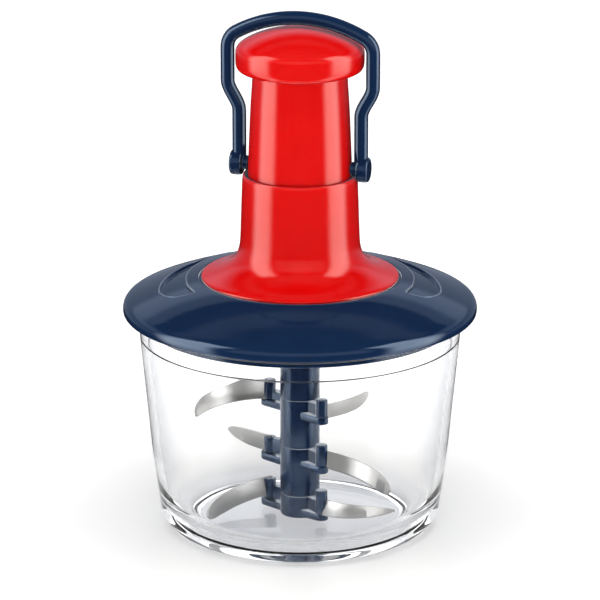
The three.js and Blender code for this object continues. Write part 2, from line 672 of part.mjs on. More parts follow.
function barrelOutline() {
  const shoulder = [barrel.radius, housingTop];
  const top = [barrel.topRadius, barrelTop - barrel.topBevel];
  const hole = knobScrew.shankRadius + knobScrew.holeGap;
  const vault = [barrel.topRadius - barrel.topWall, barrelCeiling - barrel.ceilingRound];
  const thin = [barrelBore, barrelLow + barrel.thinRise];
  return [
    [barrelBore, barrelLow], [barrelFootRadius, barrelLow], shoulder,
    ...along(shoulder, top, barrelShares), top,
    [barrel.topRadius - barrel.topBevel, barrelTop], [hole, barrelTop], [hole, barrelCeiling],
    [vault[0] - barrel.ceilingFillet, barrelCeiling], vault, ...along(vault, thin, barrelBoreShares), thin,
  ];
}

function nutBody() {
  const spigot = barrelBore - gap;
  const spigotTop = nutDiscTop + nut.spigotHeight;
  const disc = turned([
    [0, nutLow], [barrel.radius, nutLow], [barrel.radius, nutDiscTop], [spigot, nutDiscTop],
    [spigot, spigotTop],
    [nut.hubRadius, spigotTop], [nut.hubRadius, nutHubTop], [0, nutHubTop],
  ], midSides);
  const reach = housingBore + nut.keyReach;
  const key = box(reach * 2, nut.keyWidth, nut.discHeight, 0, 0, (nutLow + nutDiscTop) * halfShare);
  const bore = twistedBar(spindle.nutGap, nutLow - bite, nutHubTop + bite);
  return solid(disc).add(solid(key)).subtract(solid(bore));
}

function buildPlunger() {
  addNode('knob', turned(knobOutline(), knobSides), red);
  addNode('knob_screw', screwUp(knobScrew, knobScrewLow), steel);
  let body = solid(turned(barrelOutline(), knobSides));
  let turningNut = nutBody();
  const screwHeight = nutDiscTop + nut.spigotHeight * halfShare;
  const screwOuter = barrelFootRadius - nutScrew.sink;
  const screwInner = screwOuter - nutScrew.length;
  const outside = barrel.radius + overrun;
  for (const sign of [1, -1]) {
    const side = sign > 0 ? 'right' : 'left';
    const pinHole = cylinder(bailPin.radius + gap, screwInner, outside);
    body = body.subtract(solid(alongBailAxis(pinHole, sign)));
    const hole = alongX(cylinder(nutScrew.radius + gap, screwInner - gap, outside), sign, screwHeight);
    turningNut = turningNut.subtract(solid(hole));
    body = body.subtract(solid(hole));
    const screw = alongX(cylinder(nutScrew.radius, screwInner, screwOuter, screwSides), sign, screwHeight);
    addNode(`nut_screw_${side}`, screw, steel);
  }
  addNode('barrel', geometryOf(body), red);
  addNode('spindle_nut', geometryOf(turningNut), natural);
}

// Square bar twisted about Z with the given lead, its flats moved out by grow
function twistedBar(grow, low, high) {
  const half = spindle.side * halfShare + grow;
  const plan = [[1, 0], [1, 1], [0, 1], [-1, 1], [-1, 0], [-1, -1], [0, -1], [1, -1]];
  const firstStation = Math.floor((low - spindleLow) / spindleStep);
  const lastStation = Math.round((high - spindleLow) / spindleStep);
  const loops = Array.from({ length: lastStation - firstStation + 1 }, (unused, i) => {
    const z = spindleLow + (firstStation + i) * spindleStep;
    const angle = -fullTurn * (z - spindleLow) / lead;
    return plan.map(([x, y]) => {
      const point = new THREE.Vector3(x * half, y * half, z);
      return point.applyAxisAngle(new THREE.Vector3(0, 0, 1), angle);
    });
  });
  return loft(loops);
}

// Saw-tooth disc between two heights
function toothed(outer, inner, low, high) {
  const points = [];
  const starts = ringAngles(teethCount, 0);
  starts.forEach((start) => {
    const next = start + starts[1];
    points.push(polar(inner, start));
    points.push(polar((inner + outer) * halfShare, (start + next) * halfShare));
    points.push(polar(outer, next - toothLeadDegrees));
  });
  return slab(points, low, high);
}

function hexPrism(flat, low, high) {
  const corner = flat * halfShare / Math.cos(Math.PI / 6);
  return slab(ringAngles(6, 0).map((azimuth) => polar(corner, azimuth)), low, high);
}

function spindleFootOutline() {
  const grooveRadius = spindle.stemRadius - spindle.grooveDepth;
  const clipGrooveLow = clipLow - gap;
  const clipGrooveHigh = clipHigh + gap;
  const tip = clipGrooveLow - spindle.stemTip;
  const journalLow = webTop + spindle.journalGap;
  return [
    [0, tip], [spindle.stemRadius - spindle.stemBevel, tip], [spindle.stemRadius, tip + spindle.stemBevel],
    [spindle.stemRadius, clipGrooveLow], [grooveRadius, clipGrooveLow], [grooveRadius, clipGrooveHigh],
    [spindle.stemRadius, clipGrooveHigh], [spindle.stemRadius, journalLow],
    [spindle.journalRadius, journalLow],
    [spindle.journalRadius, collarLow], [spindle.collarRadius, collarLow],
    [spindle.collarRadius, collarHigh - spindle.collarEdge],
    [spindle.collarRadius - spindle.collarEdge, collarHigh],
    [0, collarHigh],
  ];
}

// Hub: pocket for the clip, web that the spindle carries, rim with the clutch's teeth, and the socket for
// the shaft
function hubBody() {
  const bore = spindle.stemRadius + hub.boreGap;
  const rim = hub.radius - hub.rimWidth;
  const outline = [
    [bore, webLow], [hub.pocketRadius, webLow], [hub.pocketRadius, socketTop],
    [hub.socketRadius, socketTop],
    [hub.socketRadius, hubLow], [hub.radius - hub.edge, hubLow], [hub.radius, hubLow + hub.edge],
    [hub.radius, hubTop - hub.edge], [hub.radius - hub.edge, hubTop], [rim, hubTop], [rim, webTop],
    [bore, webTop],
  ];
  const band = cylinder(rim + hub.weld, webTop, hubTop - hub.bandDrop, midSides);
  const seatOuter = clutch.radius + clutch.sideGap;
  const seat = toothed(seatOuter, seatOuter - clutch.toothDepth, webTop, hubTop + bite);
  const wall = cylinder(hub.socketRadius + hub.weld, hubLow + hub.bandDrop, socketTop, midSides);
  const socket = hexPrism(shaft.hexFlat + hub.socketGap * 2, hubLow - bite, socketTop + bite);
  const teeth = solid(band).subtract(solid(seat));
  return solid(turned(outline, midSides)).add(teeth).add(solid(wall).subtract(solid(socket)));
}

function buildDrive() {
  const foot = solid(turned(spindleFootOutline(), discSides));
  const bar = solid(twistedBar(0, spindleLow, spindleHigh));
  addNode('twisted_spindle', geometryOf(foot.add(bar)), steel);
  const flange = bearingRadius + bearing.flangeReach;
  addNode('spindle_bearing', turned([
    [clutchBore, bearingLow], [flange, bearingLow], [flange, bearingNeck], [bearingRadius, bearingNeck],
    [bearingRadius, bearingHigh], [clutchBore, bearingHigh],
  ], midSides), natural);
  const teeth = solid(toothed(clutch.radius, clutch.radius - clutch.toothDepth, ratchetLow, ratchetHigh));
  const bore = solid(cylinder(clutchBore, ratchetLow - bite, ratchetHigh + bite));
  addNode('clutch_ratchet', geometryOf(teeth.subtract(bore)), steel);
  addNode('drive_hub', geometryOf(hubBody()), natural);
  const clipBore = spindle.stemRadius - spindle.grooveDepth + gap;
  const clipMiddle = (clipLow + clipHigh) * halfShare;
  const mouth = box(clip.radius * 2, clip.mouth, clip.thickness * 3, clip.radius, 0, clipMiddle);
  const clipRing = solid(ring(clipBore, clip.radius, clipLow, clipHigh, smallSides)).subtract(solid(mouth));
  addNode('hub_retaining_clip', geometryOf(clipRing), steel);
  const seatTip = springSeatTop + springSeat.spigotHeight;
  addNode('spring_seat', turned([
    [0, springSeatLow], [springSeat.radius, springSeatLow], [springSeat.radius, springSeatTop],
    [springSeat.spigotRadius, springSeatTop], [springSeat.spigotRadius - springSeat.spigotTaper, seatTip],
    [0, seatTip],
  ], midSides), natural);
}

function buildSpring() {
  const count = springTurns * springStations;
  const low = springSeatTop + gap + spring.wireRadius;
  const high = barrelCeiling - spring.topGap - spring.wireRadius;
  const path = Array.from({ length: count + 1 }, (unused, i) => {
    const [x, y] = polar(spring.radius, 360 * i / springStations);
    return new THREE.Vector3(x, y, low + (high - low) * i / count);
  });
  addNode('return_spring', rod(path, spring.wireRadius, springSides, new THREE.Vector3(0, 0, 1)), steel);
}

// Bail: half of the rod's line in its own plane, from the left foot to the top of the crown
function bailHalf() {
  const points = [[legReach, bailAxisHeight + bailRod.footRise]];
  for (let i = 0; i <= bailSteps.joggle; i += 1) {
    const share = i / bailSteps.joggle;
    const eased = share * share * (3 - 2 * share);
    points.push([legReach + (bailReach - legReach) * eased, joggleLow + (joggleHigh - joggleLow) * share]);
  }
  const centre = [bailReach - bailRod.cornerRadius, 0];
  const fall = Math.asin(centre[0] / (bailRod.crownRadius - bailRod.cornerRadius));
  const crownCentre = bailCrown - bailRod.crownRadius;
  centre[1] = crownCentre + (bailRod.crownRadius - bailRod.cornerRadius) * Math.cos(fall);
  for (let i = 0; i <= bailSteps.corner; i += 1) {
    const angle = Math.PI / 2 - (Math.PI / 2 - fall) * i / bailSteps.corner;
    const x = centre[0] + bailRod.cornerRadius * Math.sin(angle);
    points.push([x, centre[1] + bailRod.cornerRadius * Math.cos(angle)]);
  }
  for (let i = 1; i <= bailSteps.crown; i += 1) {
    const angle = fall * (1 - i / bailSteps.crown);
    const x = bailRod.crownRadius * Math.sin(angle);
    points.push([x, crownCentre + bailRod.crownRadius * Math.cos(angle)]);
  }
  return points;
}

function buildBail() {
  const half = bailHalf();
  const left = half.map(([u, z]) => new THREE.Vector3(-u, 0, z));
  const right = half.slice(0, -1).reverse().map(([u, z]) => new THREE.Vector3(u, 0, z));
  const line = rod([...left, ...right], bailRod.radius, bailSides, new THREE.Vector3(0, 1, 0));
  line.rotateZ(bailYawDegrees * degree);
  let bail = solid(line);
  for (const sign of [1, -1]) {
    const side = sign > 0 ? 'right' : 'left';
    const disc = turned([
      [0, discInner], [bailDisc.radius - bailDisc.edge, discInner],
      [bailDisc.radius, discInner + bailDisc.edge],
      [bailDisc.radius, discOuter - bailDisc.edge], [bailDisc.radius - bailDisc.edge, discOuter],
      [0, discOuter],
    ], discSides);
    bail = bail.add(solid(alongBailAxis(disc, sign)));
    const hole = cylinder(bailPin.radius + gap, bailPinInner, bailPinOuter + gap);
    const trim = cylinder(bailDisc.radius + gap, bailPinInner, discInner, midSides);
    bail = bail.subtract(solid(alongBailAxis(hole, sign))).subtract(solid(alongBailAxis(trim, sign)));
    const pin = turned([
      [0, bailPinInner], [bailPin.radius, bailPinInner], [bailPin.radius, collarInner],
      [bailPin.collarRadius, collarInner], [bailPin.collarRadius, collarOuter],
      [bailPin.radius, collarOuter],
      [bailPin.radius, bailPinOuter], [0, bailPinOuter],
    ], smallSides);
    addNode(`bail_pivot_pin_${side}`, alongBailAxis(pin, sign), navy);
  }
  addNode('bail', geometryOf(bail), navy);
}

// One blade strip, grown all round by grow
function bladeStrip(own, grow) {
  const loops = [];
  const steps = bladeStations - 1;
  const [postX, postY] = polar(post.ring, own.degrees);
  const place = new THREE.Vector3(postX, postY, 0);
  const start = place.clone().add(headingVector(own.headingDegrees).multiplyScalar(-blade.tail - grow));
  for (let i = -1; i < bladeStations; i += 1) {
    const share = Math.max(i, 0) / steps;
    const heading = own.headingDegrees + own.turnDegrees * share;
    if (i > 0) {
      const middle = own.headingDegrees + own.turnDegrees * (i - halfShare) / steps;
      place.add(headingVector(middle).multiplyScalar(own.length / steps));
    }
    const centre = i < 0 ? start.clone() : place.clone();
    centre.z = own.seam + own.level + own.rise * share;
    const lean = own.leanDegrees * degree;
    const across = headingVector(heading + 90).multiplyScalar(Math.cos(lean));
    across.z = Math.sin(lean);
    const normal = headingVector(heading).cross(across).normalize();
    const past = Math.max(0, (share - own.fullShare) / (1 - own.fullShare));
    const narrow = Math.sqrt(Math.max(0, 1 - past * past));
    const half = own.width * halfShare;
    const endHalf = blade.thickness * halfShare;
    const tip = half * own.tipShare;
    const up = Math.max(tip + (half - tip) * narrow, tip + endHalf) + grow;
    const low = Math.min(tip - (half + tip) * narrow, tip - endHalf) - grow;
    const thick = endHalf + grow;
    loops.push([[up, thick], [low, thick], [low, -thick], [up, -thick]].map(([a, t]) => {
      return centre.clone().add(across.clone().multiplyScalar(a)).add(normal.clone().multiplyScalar(t));
    }));
  }
  return loft(loops);
}

function headingVector(azimuth) {
  const [x, y] = polar(1, azimuth);
  return new THREE.Vector3(x, y, 0);
}

// Arm plate: hull of the round end under the post and a wide root at the shaft
function convexHull(points) {
  const sorted = [...points].sort((a, b) => a[0] - b[0] || a[1] - b[1]);
  const half = (list) => {
    const out = [];
    for (const p of list) {
      while (out.length > 1 && turnOf(out[out.length - 2], out[out.length - 1], p) <= 0) out.pop();
      out.push(p);
    }
    return out.slice(0, -1);
  };
  return [...half(sorted), ...half(sorted.reverse())];
}

function turnOf(a, b, c) {
  return (b[0] - a[0]) * (c[1] - a[1]) - (b[1] - a[1]) * (c[0] - a[0]);
}

function armPoints(azimuth) {
  const [postX, postY] = polar(post.ring, azimuth);
  const points = ringAngles(armSteps, 0).map((a) => {
    const [x, y] = polar(arm.endRadius, a);
    return [postX + x, postY + y];
  });
  const [outX, outY] = polar(arm.webWidth * halfShare, azimuth);
  for (const sign of [90, -90]) {
    const [x, y] = polar(arm.rootWidth * halfShare, azimuth + sign);
    points.push([x + outX, y + outY]);
  }
  return convexHull(points);
}

// One carrier: its length of the shaft's tube, with the arm plates and webs of its two blades
function carrier(low, high, own, footEdge) {
  const isLowest = footEdge > 0;
  const outline = [
    [0, low], [shaft.radius - footEdge, low], [shaft.radius, low + footEdge], [shaft.radius, high],
    [0, high],
  ];
  let body = solid(turned(outline, midSides));
  for (const each of own) {
    const armTop = each.seam + each.postLow - gap;
    const armLow = armTop - arm.thickness;
    body = body.add(solid(slab(armPoints(each.degrees), armLow, armTop)));
    const [x, y] = polar(post.ring * halfShare, each.degrees);
    const web = new THREE.BoxGeometry(post.ring, arm.webWidth, high - armLow);
    web.rotateZ(each.degrees * degree);
    web.translate(x, y, (high + armLow) * halfShare);
    body = body.add(solid(web));
  }
  for (const each of own) {
    const [x, y] = polar(post.ring, each.degrees);
    const postLow = each.seam + each.postLow;
    const clearance = cylinder(post.radius + gap, postLow - gap, postLow + each.postHeight + gap);
    body = body.subtract(solid(moved(clearance, x, y, 0)));
    body = body.subtract(solid(bladeStrip(each, gap)));
  }
  const footWallTop = isLowest ? low + coreRod.footWall : low - gap;
  body = body.subtract(solid(cylinder(coreRod.radius + gap, footWallTop, high + gap)));
  if (isLowest) body = body.subtract(solid(cylinder(pivotPin.radius + gap, low - gap, footWallTop + gap)));
  return geometryOf(body);
}

function shaftHead() {
  const low = topSeam + gap * halfShare;
  const rodHigh = plateLow - coreRod.headGap;
  const tube = turned([
    [0, low], [shaft.radius, low], [shaft.radius, plateLow - shaft.headEdge],
    [shaft.radius - shaft.headEdge, plateLow], [0, plateLow],
  ], midSides);
  const hexagon = hexPrism(shaft.hexFlat, plateLow - bite, hexHigh);
  const bore = cylinder(coreRod.radius + gap, low - bite, rodHigh + gap);
  return geometryOf(solid(tube).add(solid(hexagon)).subtract(solid(bore)));
}

function buildBladeShaft() {
  addNode('shaft_head_tube', shaftHead(), navy);
  const rodLow = shaftLow + coreRod.footWall + gap;
  const rodHigh = plateLow - coreRod.headGap;
  const boreTop = pivotPinHigh + coreRod.pinSpare;
  const bore = pivotPin.radius + gap;
  addNode('shaft_core_rod', turned([
    [bore, rodLow], [coreRod.radius, rodLow], [coreRod.radius, rodHigh], [0, rodHigh], [0, boreTop],
    [bore, boreTop],
    [bore, rodLow],
  ], smallSides), steel);
  const carriers = [
    { name: 'top', low: middleSeam, high: topSeam, left: topLeft, right: topRight, edge: 0 },
    { name: 'middle', low: lowestSeam, high: middleSeam, left: middleLeft, right: middleRight, edge: 0 },
    {
      name: 'bottom', low: shaftLow, high: lowestSeam, left: bottomLeft, right: bottomRight,
      edge: shaft.footEdge,
    },
  ];
  for (const each of carriers) {
    const sides = [
      { ...each.left, side: 'left', degrees: leftDegrees, seam: each.low },
      { ...each.right, side: 'right', degrees: rightDegrees, seam: each.low },
    ];
    const seamGap = gap * halfShare;
    const low = each.edge > 0 ? each.low : each.low + seamGap;
    addNode(`blade_carrier_${each.name}`, carrier(low, each.high - seamGap, sides, each.edge), navy);
    for (const own of sides) {
      const [x, y] = polar(post.ring, own.degrees);
      const foot = own.seam + own.postLow;
      const pin = solid(moved(cylinder(post.radius, foot, foot + own.postHeight), x, y, 0));
      const place = `${each.name}_${own.side}`;
      addNode(`blade_post_${place}`, geometryOf(pin.subtract(solid(bladeStrip(own, gap)))), navy);
      addNode(`blade_${place}`, bladeStrip(own, 0), steel);
    }
  }
}

buildBowl();
buildLid();
buildInnerPlate();
buildHousing();
buildPlunger();
buildDrive();
buildSpring();
buildBail();
buildBladeShaft();

export default group;
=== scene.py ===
import math

import bpy
import numpy as np
from mathutils import Matrix, Vector


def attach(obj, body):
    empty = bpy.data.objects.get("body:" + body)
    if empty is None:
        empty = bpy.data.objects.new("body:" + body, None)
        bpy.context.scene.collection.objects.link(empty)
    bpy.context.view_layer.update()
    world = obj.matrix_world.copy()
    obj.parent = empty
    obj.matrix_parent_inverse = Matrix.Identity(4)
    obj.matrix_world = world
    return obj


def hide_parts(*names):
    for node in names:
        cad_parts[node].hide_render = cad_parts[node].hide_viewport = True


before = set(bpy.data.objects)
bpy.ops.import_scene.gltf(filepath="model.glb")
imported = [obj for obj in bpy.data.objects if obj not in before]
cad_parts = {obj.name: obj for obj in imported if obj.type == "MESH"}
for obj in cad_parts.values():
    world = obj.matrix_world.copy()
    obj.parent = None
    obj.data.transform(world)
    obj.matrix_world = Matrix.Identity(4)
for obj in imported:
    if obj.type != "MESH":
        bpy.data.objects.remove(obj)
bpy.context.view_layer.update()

MM = 0.001
BOWL_SIDES = 220
RED_SIDES = 200
TURNED_SIDES = 160

# Outlines as (radius, height, corner) in millimetres: a corner of "s" is drawn as one smooth curve through its
# neighbours, a number is a fillet, and none is a sharp edge
BOWL = [
    (0, 4.0), (57.5, 4.0, 0.4), (60, 3.6), (66, 0, 0.4), (68, 0, "s"), (71.2, 0.7, "s"), (74.6, 2.4, "s"),
    (77.4, 5.2, "s"), (79.2, 8.6, "s"), (80.1, 12.6, "s"), (82.3, 30, "s"), (84.8, 50, "s"), (86.5, 70, "s"),
    (88.2, 87, "s"), (89.5, 101, "s"), (90.3, 108.5, "s"), (91.3, 126.6, 0.8), (90.6, 128, 0.8), (87.6, 128, 0.6),
    (87.1, 126.8, 0.6), (86.8, 112, 0.35), (85.5, 111.1, 0.35), (84.9, 101, "s"), (83.6, 87, "s"), (81.9, 70, "s"),
    (80.2, 50, "s"), (77.9, 32, "s"), (76.9, 25.5, "s"), (74.9, 19.2, "s"), (71.2, 14, "s"), (67.6, 11.6, "s"),
    (64.1, 10.4, 0.5), (62.2, 8.6, "s"), (58.6, 4.9, "s"), (56.6, 4.4, "s"), (0, 4.4),
]
LID_TOP = [
    (38.5, 145.3), (57.2, 145.3, 0.2), (57.2, 146.6, 0.5), (58.7, 146.4, "s"), (62, 145.67, "s"), (66, 144.69, "s"),
    (70, 143.62, "s"), (74, 142.45, "s"), (78, 141.19, "s"), (82, 139.84, "s"), (86, 138.39, "s"), (91, 136.45, "s"),
    (94.8, 134.95, "s"), (97.4, 133.75, "s"), (99.1, 132.2, "s"), (99.9, 130.4, "s"),
    (100, 127.6, "s"), (99.5, 126.5, "s"), (98.6, 126.1, 0.3), (97.2, 126.1, 0.3), (96.8, 131.2, "s"),
    (92.6, 132.8, 0.5), (92.3, 128.4, 0.3), (86.6, 128.4, 0.3), (86.3, 134.6, "s"), (60.5, 142.2, "s"), (38.5, 142.2),
]
RECESS_EDGE = [
    (72.9, 124), (72.6, 134), (72.4, 142), (73.6, 151), (75.7, 164), (78.2, 176), (79.9, 187), (79.4, 193),
    (77.4, 198.5), (74.4, 202.2), (70.4, 204.4), (67, 205.2), (64.6, 204.6), (64.2, 200), (64.3, 190), (64.3, 176),
    (64.5, 164), (65.3, 155), (67, 144), (69.6, 134),
]
RECESS_STEPS = 8
RECESS_ZONE = (60, 84)
RECESS_ZONE_FRONT = -45
RECESS_OUTER = 70.5
RECESS_WALL_OUTER = 2.2
RECESS_WALL_INNER = 0.9
RECESS_DEPTH = 1.6
RIM_RADIUS = 0.5
RIM_SUNK = 0.2
RIM_SIDES = 8
LID_SIDES = 720
LID_STEP = 0.5
SLOPE_SPAN = (58.7, 91)
SLOPE_START = (57.7, 145.6)
SLOPE_FALL = 0.33
PLATE = [
    (25.6, 119.5), (26.1, 119), (84.9, 119, 0.4), (85.5, 119.6, 0.4), (85.5, 121.4), (83.9, 121.4), (83.9, 125),
    (85.5, 125, 0.3), (85.5, 127.9, 0.3), (82.4, 127.9), (82.1, 122.2, 1.0), (28.2, 122.2, 1.0), (28, 126.6),
    (25.6, 126.6),
]
GASKET = [(84.2, 121.7), (86, 121.7, 0.4), (86.8, 122.6, 0.4), (86.8, 123.8, 0.4), (86, 124.7, 0.4), (84.2, 124.7)]
HOUSING = [
    (12.6, 133), (35.2, 133, 0.4), (36, 133.8, 0.4), (36, 145.6), (55, 145.6, 0.3), (55.6, 146.2, "s"),
    (55.7, 147.2, "s"), (55.1, 147.9, "s"), (50, 149.2, "s"), (46, 150.7, "s"), (41.8, 152.8, "s"),
    (38.2, 155.6, "s"), (35.7, 159.1, "s"), (34.3, 163, "s"), (33.6, 168, "s"), (33, 186, "s"), (32.4, 203.4, "s"),
    (32.1, 205.3, "s"),
    (31.7, 206, 0.3), (31.3, 206, 0.1), (31.3, 197.7), (29.9, 197.7), (29.9, 136.5), (12.6, 136.5),
]
GUIDE = [(29.65, 198), (31, 198), (31, 205.6, 0.2), (29.65, 205.6, 0.2)]
KNOB = [
    (0, 289.7), (10, 288.9, "s"), (18, 287.2, "s"), (25, 284.9, "s"), (30, 282.5, "s"), (32.8, 280.8, "s"),
    (34.7, 279.2, "s"), (35.7, 277.3, "s"), (35.9, 275.4, "s"), (35.9, 269.8, "s"), (35.5, 267.6, "s"),
    (34.2, 265.8, "s"), (31.8, 264.7, "s"), (30.4, 264.6, 0.3), (24.4, 264.6, 0.3), (24.2, 274), (20, 281.2),
    (8, 284.4), (6.8, 283.4), (6.6, 264.6), (1.7, 264.6), (1.7, 277), (0, 277),
]
BARREL = [
    (26.6, 141.6), (29.2, 141.6, 0.3), (29.3, 206, "s"), (28.9, 215.5, "s"), (28.5, 225.3, "s"), (28, 236.8, "s"),
    (27.4, 248.3, "s"), (26.7, 258, "s"), (26.4, 263.6, 0.4), (25.7, 264.3), (1.9, 264.3), (1.9, 261), (22.6, 261),
    (23.6, 258), (24.7, 236.8), (25.8, 212), (26.6, 200),
]
BAIL_YAW = math.radians(-14)
BAIL_AXIS = 210.5
BAIL_RADIUS = 3.9
BAIL_LEG = 35
BAIL_FOOT = 213.5
BAIL_BEND = 240.6
BAIL_JOG = 6.6
BAIL_JOG_RISE = 17
BAIL_CORNER = 10
BAIL_CROWN = 75
BAIL_TOP = 294.7
BAIL_SIDES = 28
DISC = [
    (0, 32.9), (6.3, 32.9, "s"), (7.2, 33.8, "s"), (7.2, 38.6, "s"), (6.6, 39.5, "s"), (5.8, 39.8, 0.3), (0, 39.8),
]
PIN = [(0, 25.2), (2.8, 25.2), (2.8, 29.8), (4, 29.8, 0.3), (4, 32.6, 0.3), (2.8, 32.6), (2.8, 38.6), (0, 38.6)]
DISC_SIDES = 64
SHAFT_RADIUS = 11.3
SEAMS = [75.95, 47.05, 18.05]
SHAFT_LOW = 4.9
SHAFT_SHOULDER = 119
SHAFT_BORE = 5.3
SHAFT_EDGE = 0.25
SHAFT_LOW_EDGE = 1.6
SHAFT_TOP_EDGE = 0.8
SHAFT_SIDES = 96
SEAM_GAP = 0.15
NECK_RADIUS = 8.6
NECK_TOP = 119.3
HEX_ACROSS = 15.6
HEX_TOP = 124.3
POST_RING = 21.5
POST_RADIUS = 3.4
POST_LOW_EDGE = 0.3
POST_TOP_EDGE = 0.8
POST_SIDES = 40
ARM_PLATE = 4.2
ARM_END = {"left": 5.1, "right": 3.8}
ARM_ROOT = 7.5
ARM_DROP = 0.3
ARM_EDGE = 0.35
WEB_EDGE = 0.3
WEB_HALF = 1.9
WEB_REACH = (2, 18.2)
BLADE_THICKNESS = 1.1
BLADE_TAIL = 1.6
BLADE_EDGE = 0.25
BLADE_BEVEL = 3
BLADE_LIP = 0.12
BLADE_STATIONS = 60
LEFT, RIGHT = 143.4, -55.5
# Each blade runs from its post by heading and turn in plan, rises along its length, and is width high, leaning by
# lean; full is where it starts to narrow and tip is how far its point lies off the middle of the width
BLADES = [
    dict(name="top_left", azimuth=LEFT, post=(71.3, 81.2), heading=174.2, turn=92.1, length=60.7, height=75.9,
         rise=-3.8, width=10.36, lean=109.9, full=0.41, tip=-0.22, carrier=0),
    dict(name="top_right", azimuth=RIGHT, post=(69.5, 79.8), heading=24.5, turn=56.8, length=46.3, height=72.0,
         rise=0.3, width=8.98, lean=92.9, full=0.51, tip=-0.09, carrier=0),
    dict(name="middle_left", azimuth=LEFT, post=(38.4, 47.2), heading=146.0, turn=-19.6, length=34.4, height=43.0,
         rise=0.4, width=11.0, lean=82.7, full=0.15, tip=-0.02, carrier=1),
    dict(name="middle_right", azimuth=RIGHT, post=(40.2, 52.5), heading=-9.1, turn=-67.0, length=53.3, height=43.9,
         rise=-8.7, width=10.25, lean=78.3, full=0.68, tip=0.23, carrier=1),
    dict(name="bottom_left", azimuth=LEFT, post=(10.6, 21.8), heading=205.4, turn=58.0, length=62.0, height=17.2,
         rise=-4.8, width=11.0, lean=100.3, full=0.69, tip=0.28, carrier=2),
    dict(name="bottom_right", azimuth=RIGHT, post=(11.1, 25.0), heading=-54.4, turn=76.1, length=46.1, height=15.0,
         rise=2.8, width=9.2, lean=69.5, full=0.15, tip=-0.33, carrier=2),
]

# Camera: the photo is 600 x 600, and one pixel is 0.565 mm at the object's axis
PIXEL = 0.565
FRAME = 600
FOCAL_PX = 3700
ELEVATION = math.radians(16.7)
TARGET_HEIGHT = 132.1
SENSOR = 36
VIEW_END = 60


# Node materials
OPEN_TINT = ((0.985, 0.99, 0.995), (1.0, 1.0, 1.0))
# Painted shade: the clear wall is greyed where it is seen edge on, for the dark surroundings seen in and through it
WALL_EDGE_SHADE = (0.62, 0.64, 0.68)
EDGE_SHADE_FACING = (0.40, 0.85)
EDGE_SHADE_UPRIGHT = (0.6, 0.3)
FOOT_TINT = (0.78, 0.795, 0.83)
FOOT_HEIGHT = (0.012, 0.004)
CLEAR_IOR = 1.22
BLUISH = (0.6, 0.78, 1.0)
WARM = (1.0, 0.9, 0.8)


def new_material(name):
    """A material, its nodes, its links and its surface shader."""
    mat = bpy.data.materials.new(name)
    mat.use_nodes = True
    nodes = mat.node_tree.nodes
    shader = nodes.get("Principled BSDF")
    return mat, nodes, mat.node_tree.links, shader


def noise(nodes, links, scale, detail=3.0, stretch=(1, 1, 1)):
    """Noise fixed to the object, for clouds, grain and streaks."""
    coord = nodes.new("ShaderNodeTexCoord")
    mapping = nodes.new("ShaderNodeMapping")
    mapping.inputs["Scale"].default_value = stretch
    links.new(coord.outputs["Object"], mapping.inputs["Vector"])
    tex = nodes.new("ShaderNodeTexNoise")
    tex.inputs["Scale"].default_value = scale
    tex.inputs["Detail"].default_value = detail
    links.new(mapping.outputs["Vector"], tex.inputs["Vector"])
    return tex.outputs["Fac"]


def ranged(nodes, links, value, low, high):
    """The middle of a noise spread over low to high."""
    out = nodes.new("ShaderNodeMapRange")
    out.inputs["From Min"].default_value = 0.3
    out.inputs["From Max"].default_value = 0.7
    out.inputs["To Min"].default_value = low
    out.inputs["To Max"].default_value = high
    links.new(value, out.inputs["Value"])
    return out.outputs["Result"]


def mixed(nodes, links, value, first, second):
    """A colour from first to second by a noise."""
    ramp = nodes.new("ShaderNodeValToRGB")
    ramp.color_ramp.elements[0].position = 0.35
    ramp.color_ramp.elements[1].position = 0.65
    ramp.color_ramp.elements[0].color = (*first, 1)
    ramp.color_ramp.elements[1].color = (*second, 1)
    links.new(value, ramp.inputs["Fac"])
    return ramp.outputs["Color"]


def bumped(nodes, links, value, strength, distance):
    """A surface made uneven by a noise."""
    bump = nodes.new("ShaderNodeBump")
    bump.inputs["Strength"].default_value = strength
    bump.inputs["Distance"].default_value = distance
    links.new(value, bump.inputs["Height"])
    return bump.outputs["Normal"]


def math_node(nodes, links, operation, a, b=None):
    """The result of one calculation; a and b are sockets or numbers."""
    node = nodes.new("ShaderNodeMath")
    node.operation = operation
    for i, v in enumerate((a, b)):
        if v is None:
            continue
        if isinstance(v, (int, float)):
            node.inputs[i].default_value = v
        else:
            links.new(v, node.inputs[i])
    return node.outputs[0]


def step_up(nodes, links, value, start, end):
    """A soft step from 0 at start to 1 at end."""
    out = nodes.new("ShaderNodeMapRange")
    out.interpolation_type = "SMOOTHSTEP"
    out.inputs["From Min"].default_value = start
    out.inputs["From Max"].default_value = end
    links.new(value, out.inputs["Value"])
    return out.outputs["Result"]


def blended(nodes, links, factor, first, second):
    """A colour between two others; each is a socket or three numbers."""
    mix = nodes.new("ShaderNodeMix")
    mix.data_type = "RGBA"
    links.new(factor, mix.inputs[0])
    for socket, colour in ((mix.inputs[6], first), (mix.inputs[7], second)):
        if isinstance(colour, tuple):
            socket.default_value = (*colour, 1)
        else:
            links.new(colour, socket)
    return mix.outputs[2]


def plastic(name, first, second, rough, ior=1.46, bump=0.02, tint=(1.0, 1.0, 1.0)):
    """Moulded plastic: cloudy colour, grained gloss and a faint ripple."""
    mat, nodes, links, shader = new_material(name)
    cloud = noise(nodes, links, 60, 4)
    links.new(mixed(nodes, links, cloud, first, second), shader.inputs["Base Color"])
    grain = noise(nodes, links, 420, 3)
    links.new(ranged(nodes, links, grain, rough[0], rough[1]), shader.inputs["Roughness"])
    links.new(bumped(nodes, links, noise(nodes, links, 900, 2), bump, 0.0001), shader.inputs["Normal"])
    shader.inputs["IOR"].default_value = ior
    shader.inputs["Specular Tint"].default_value = (*tint, 1)
    return mat


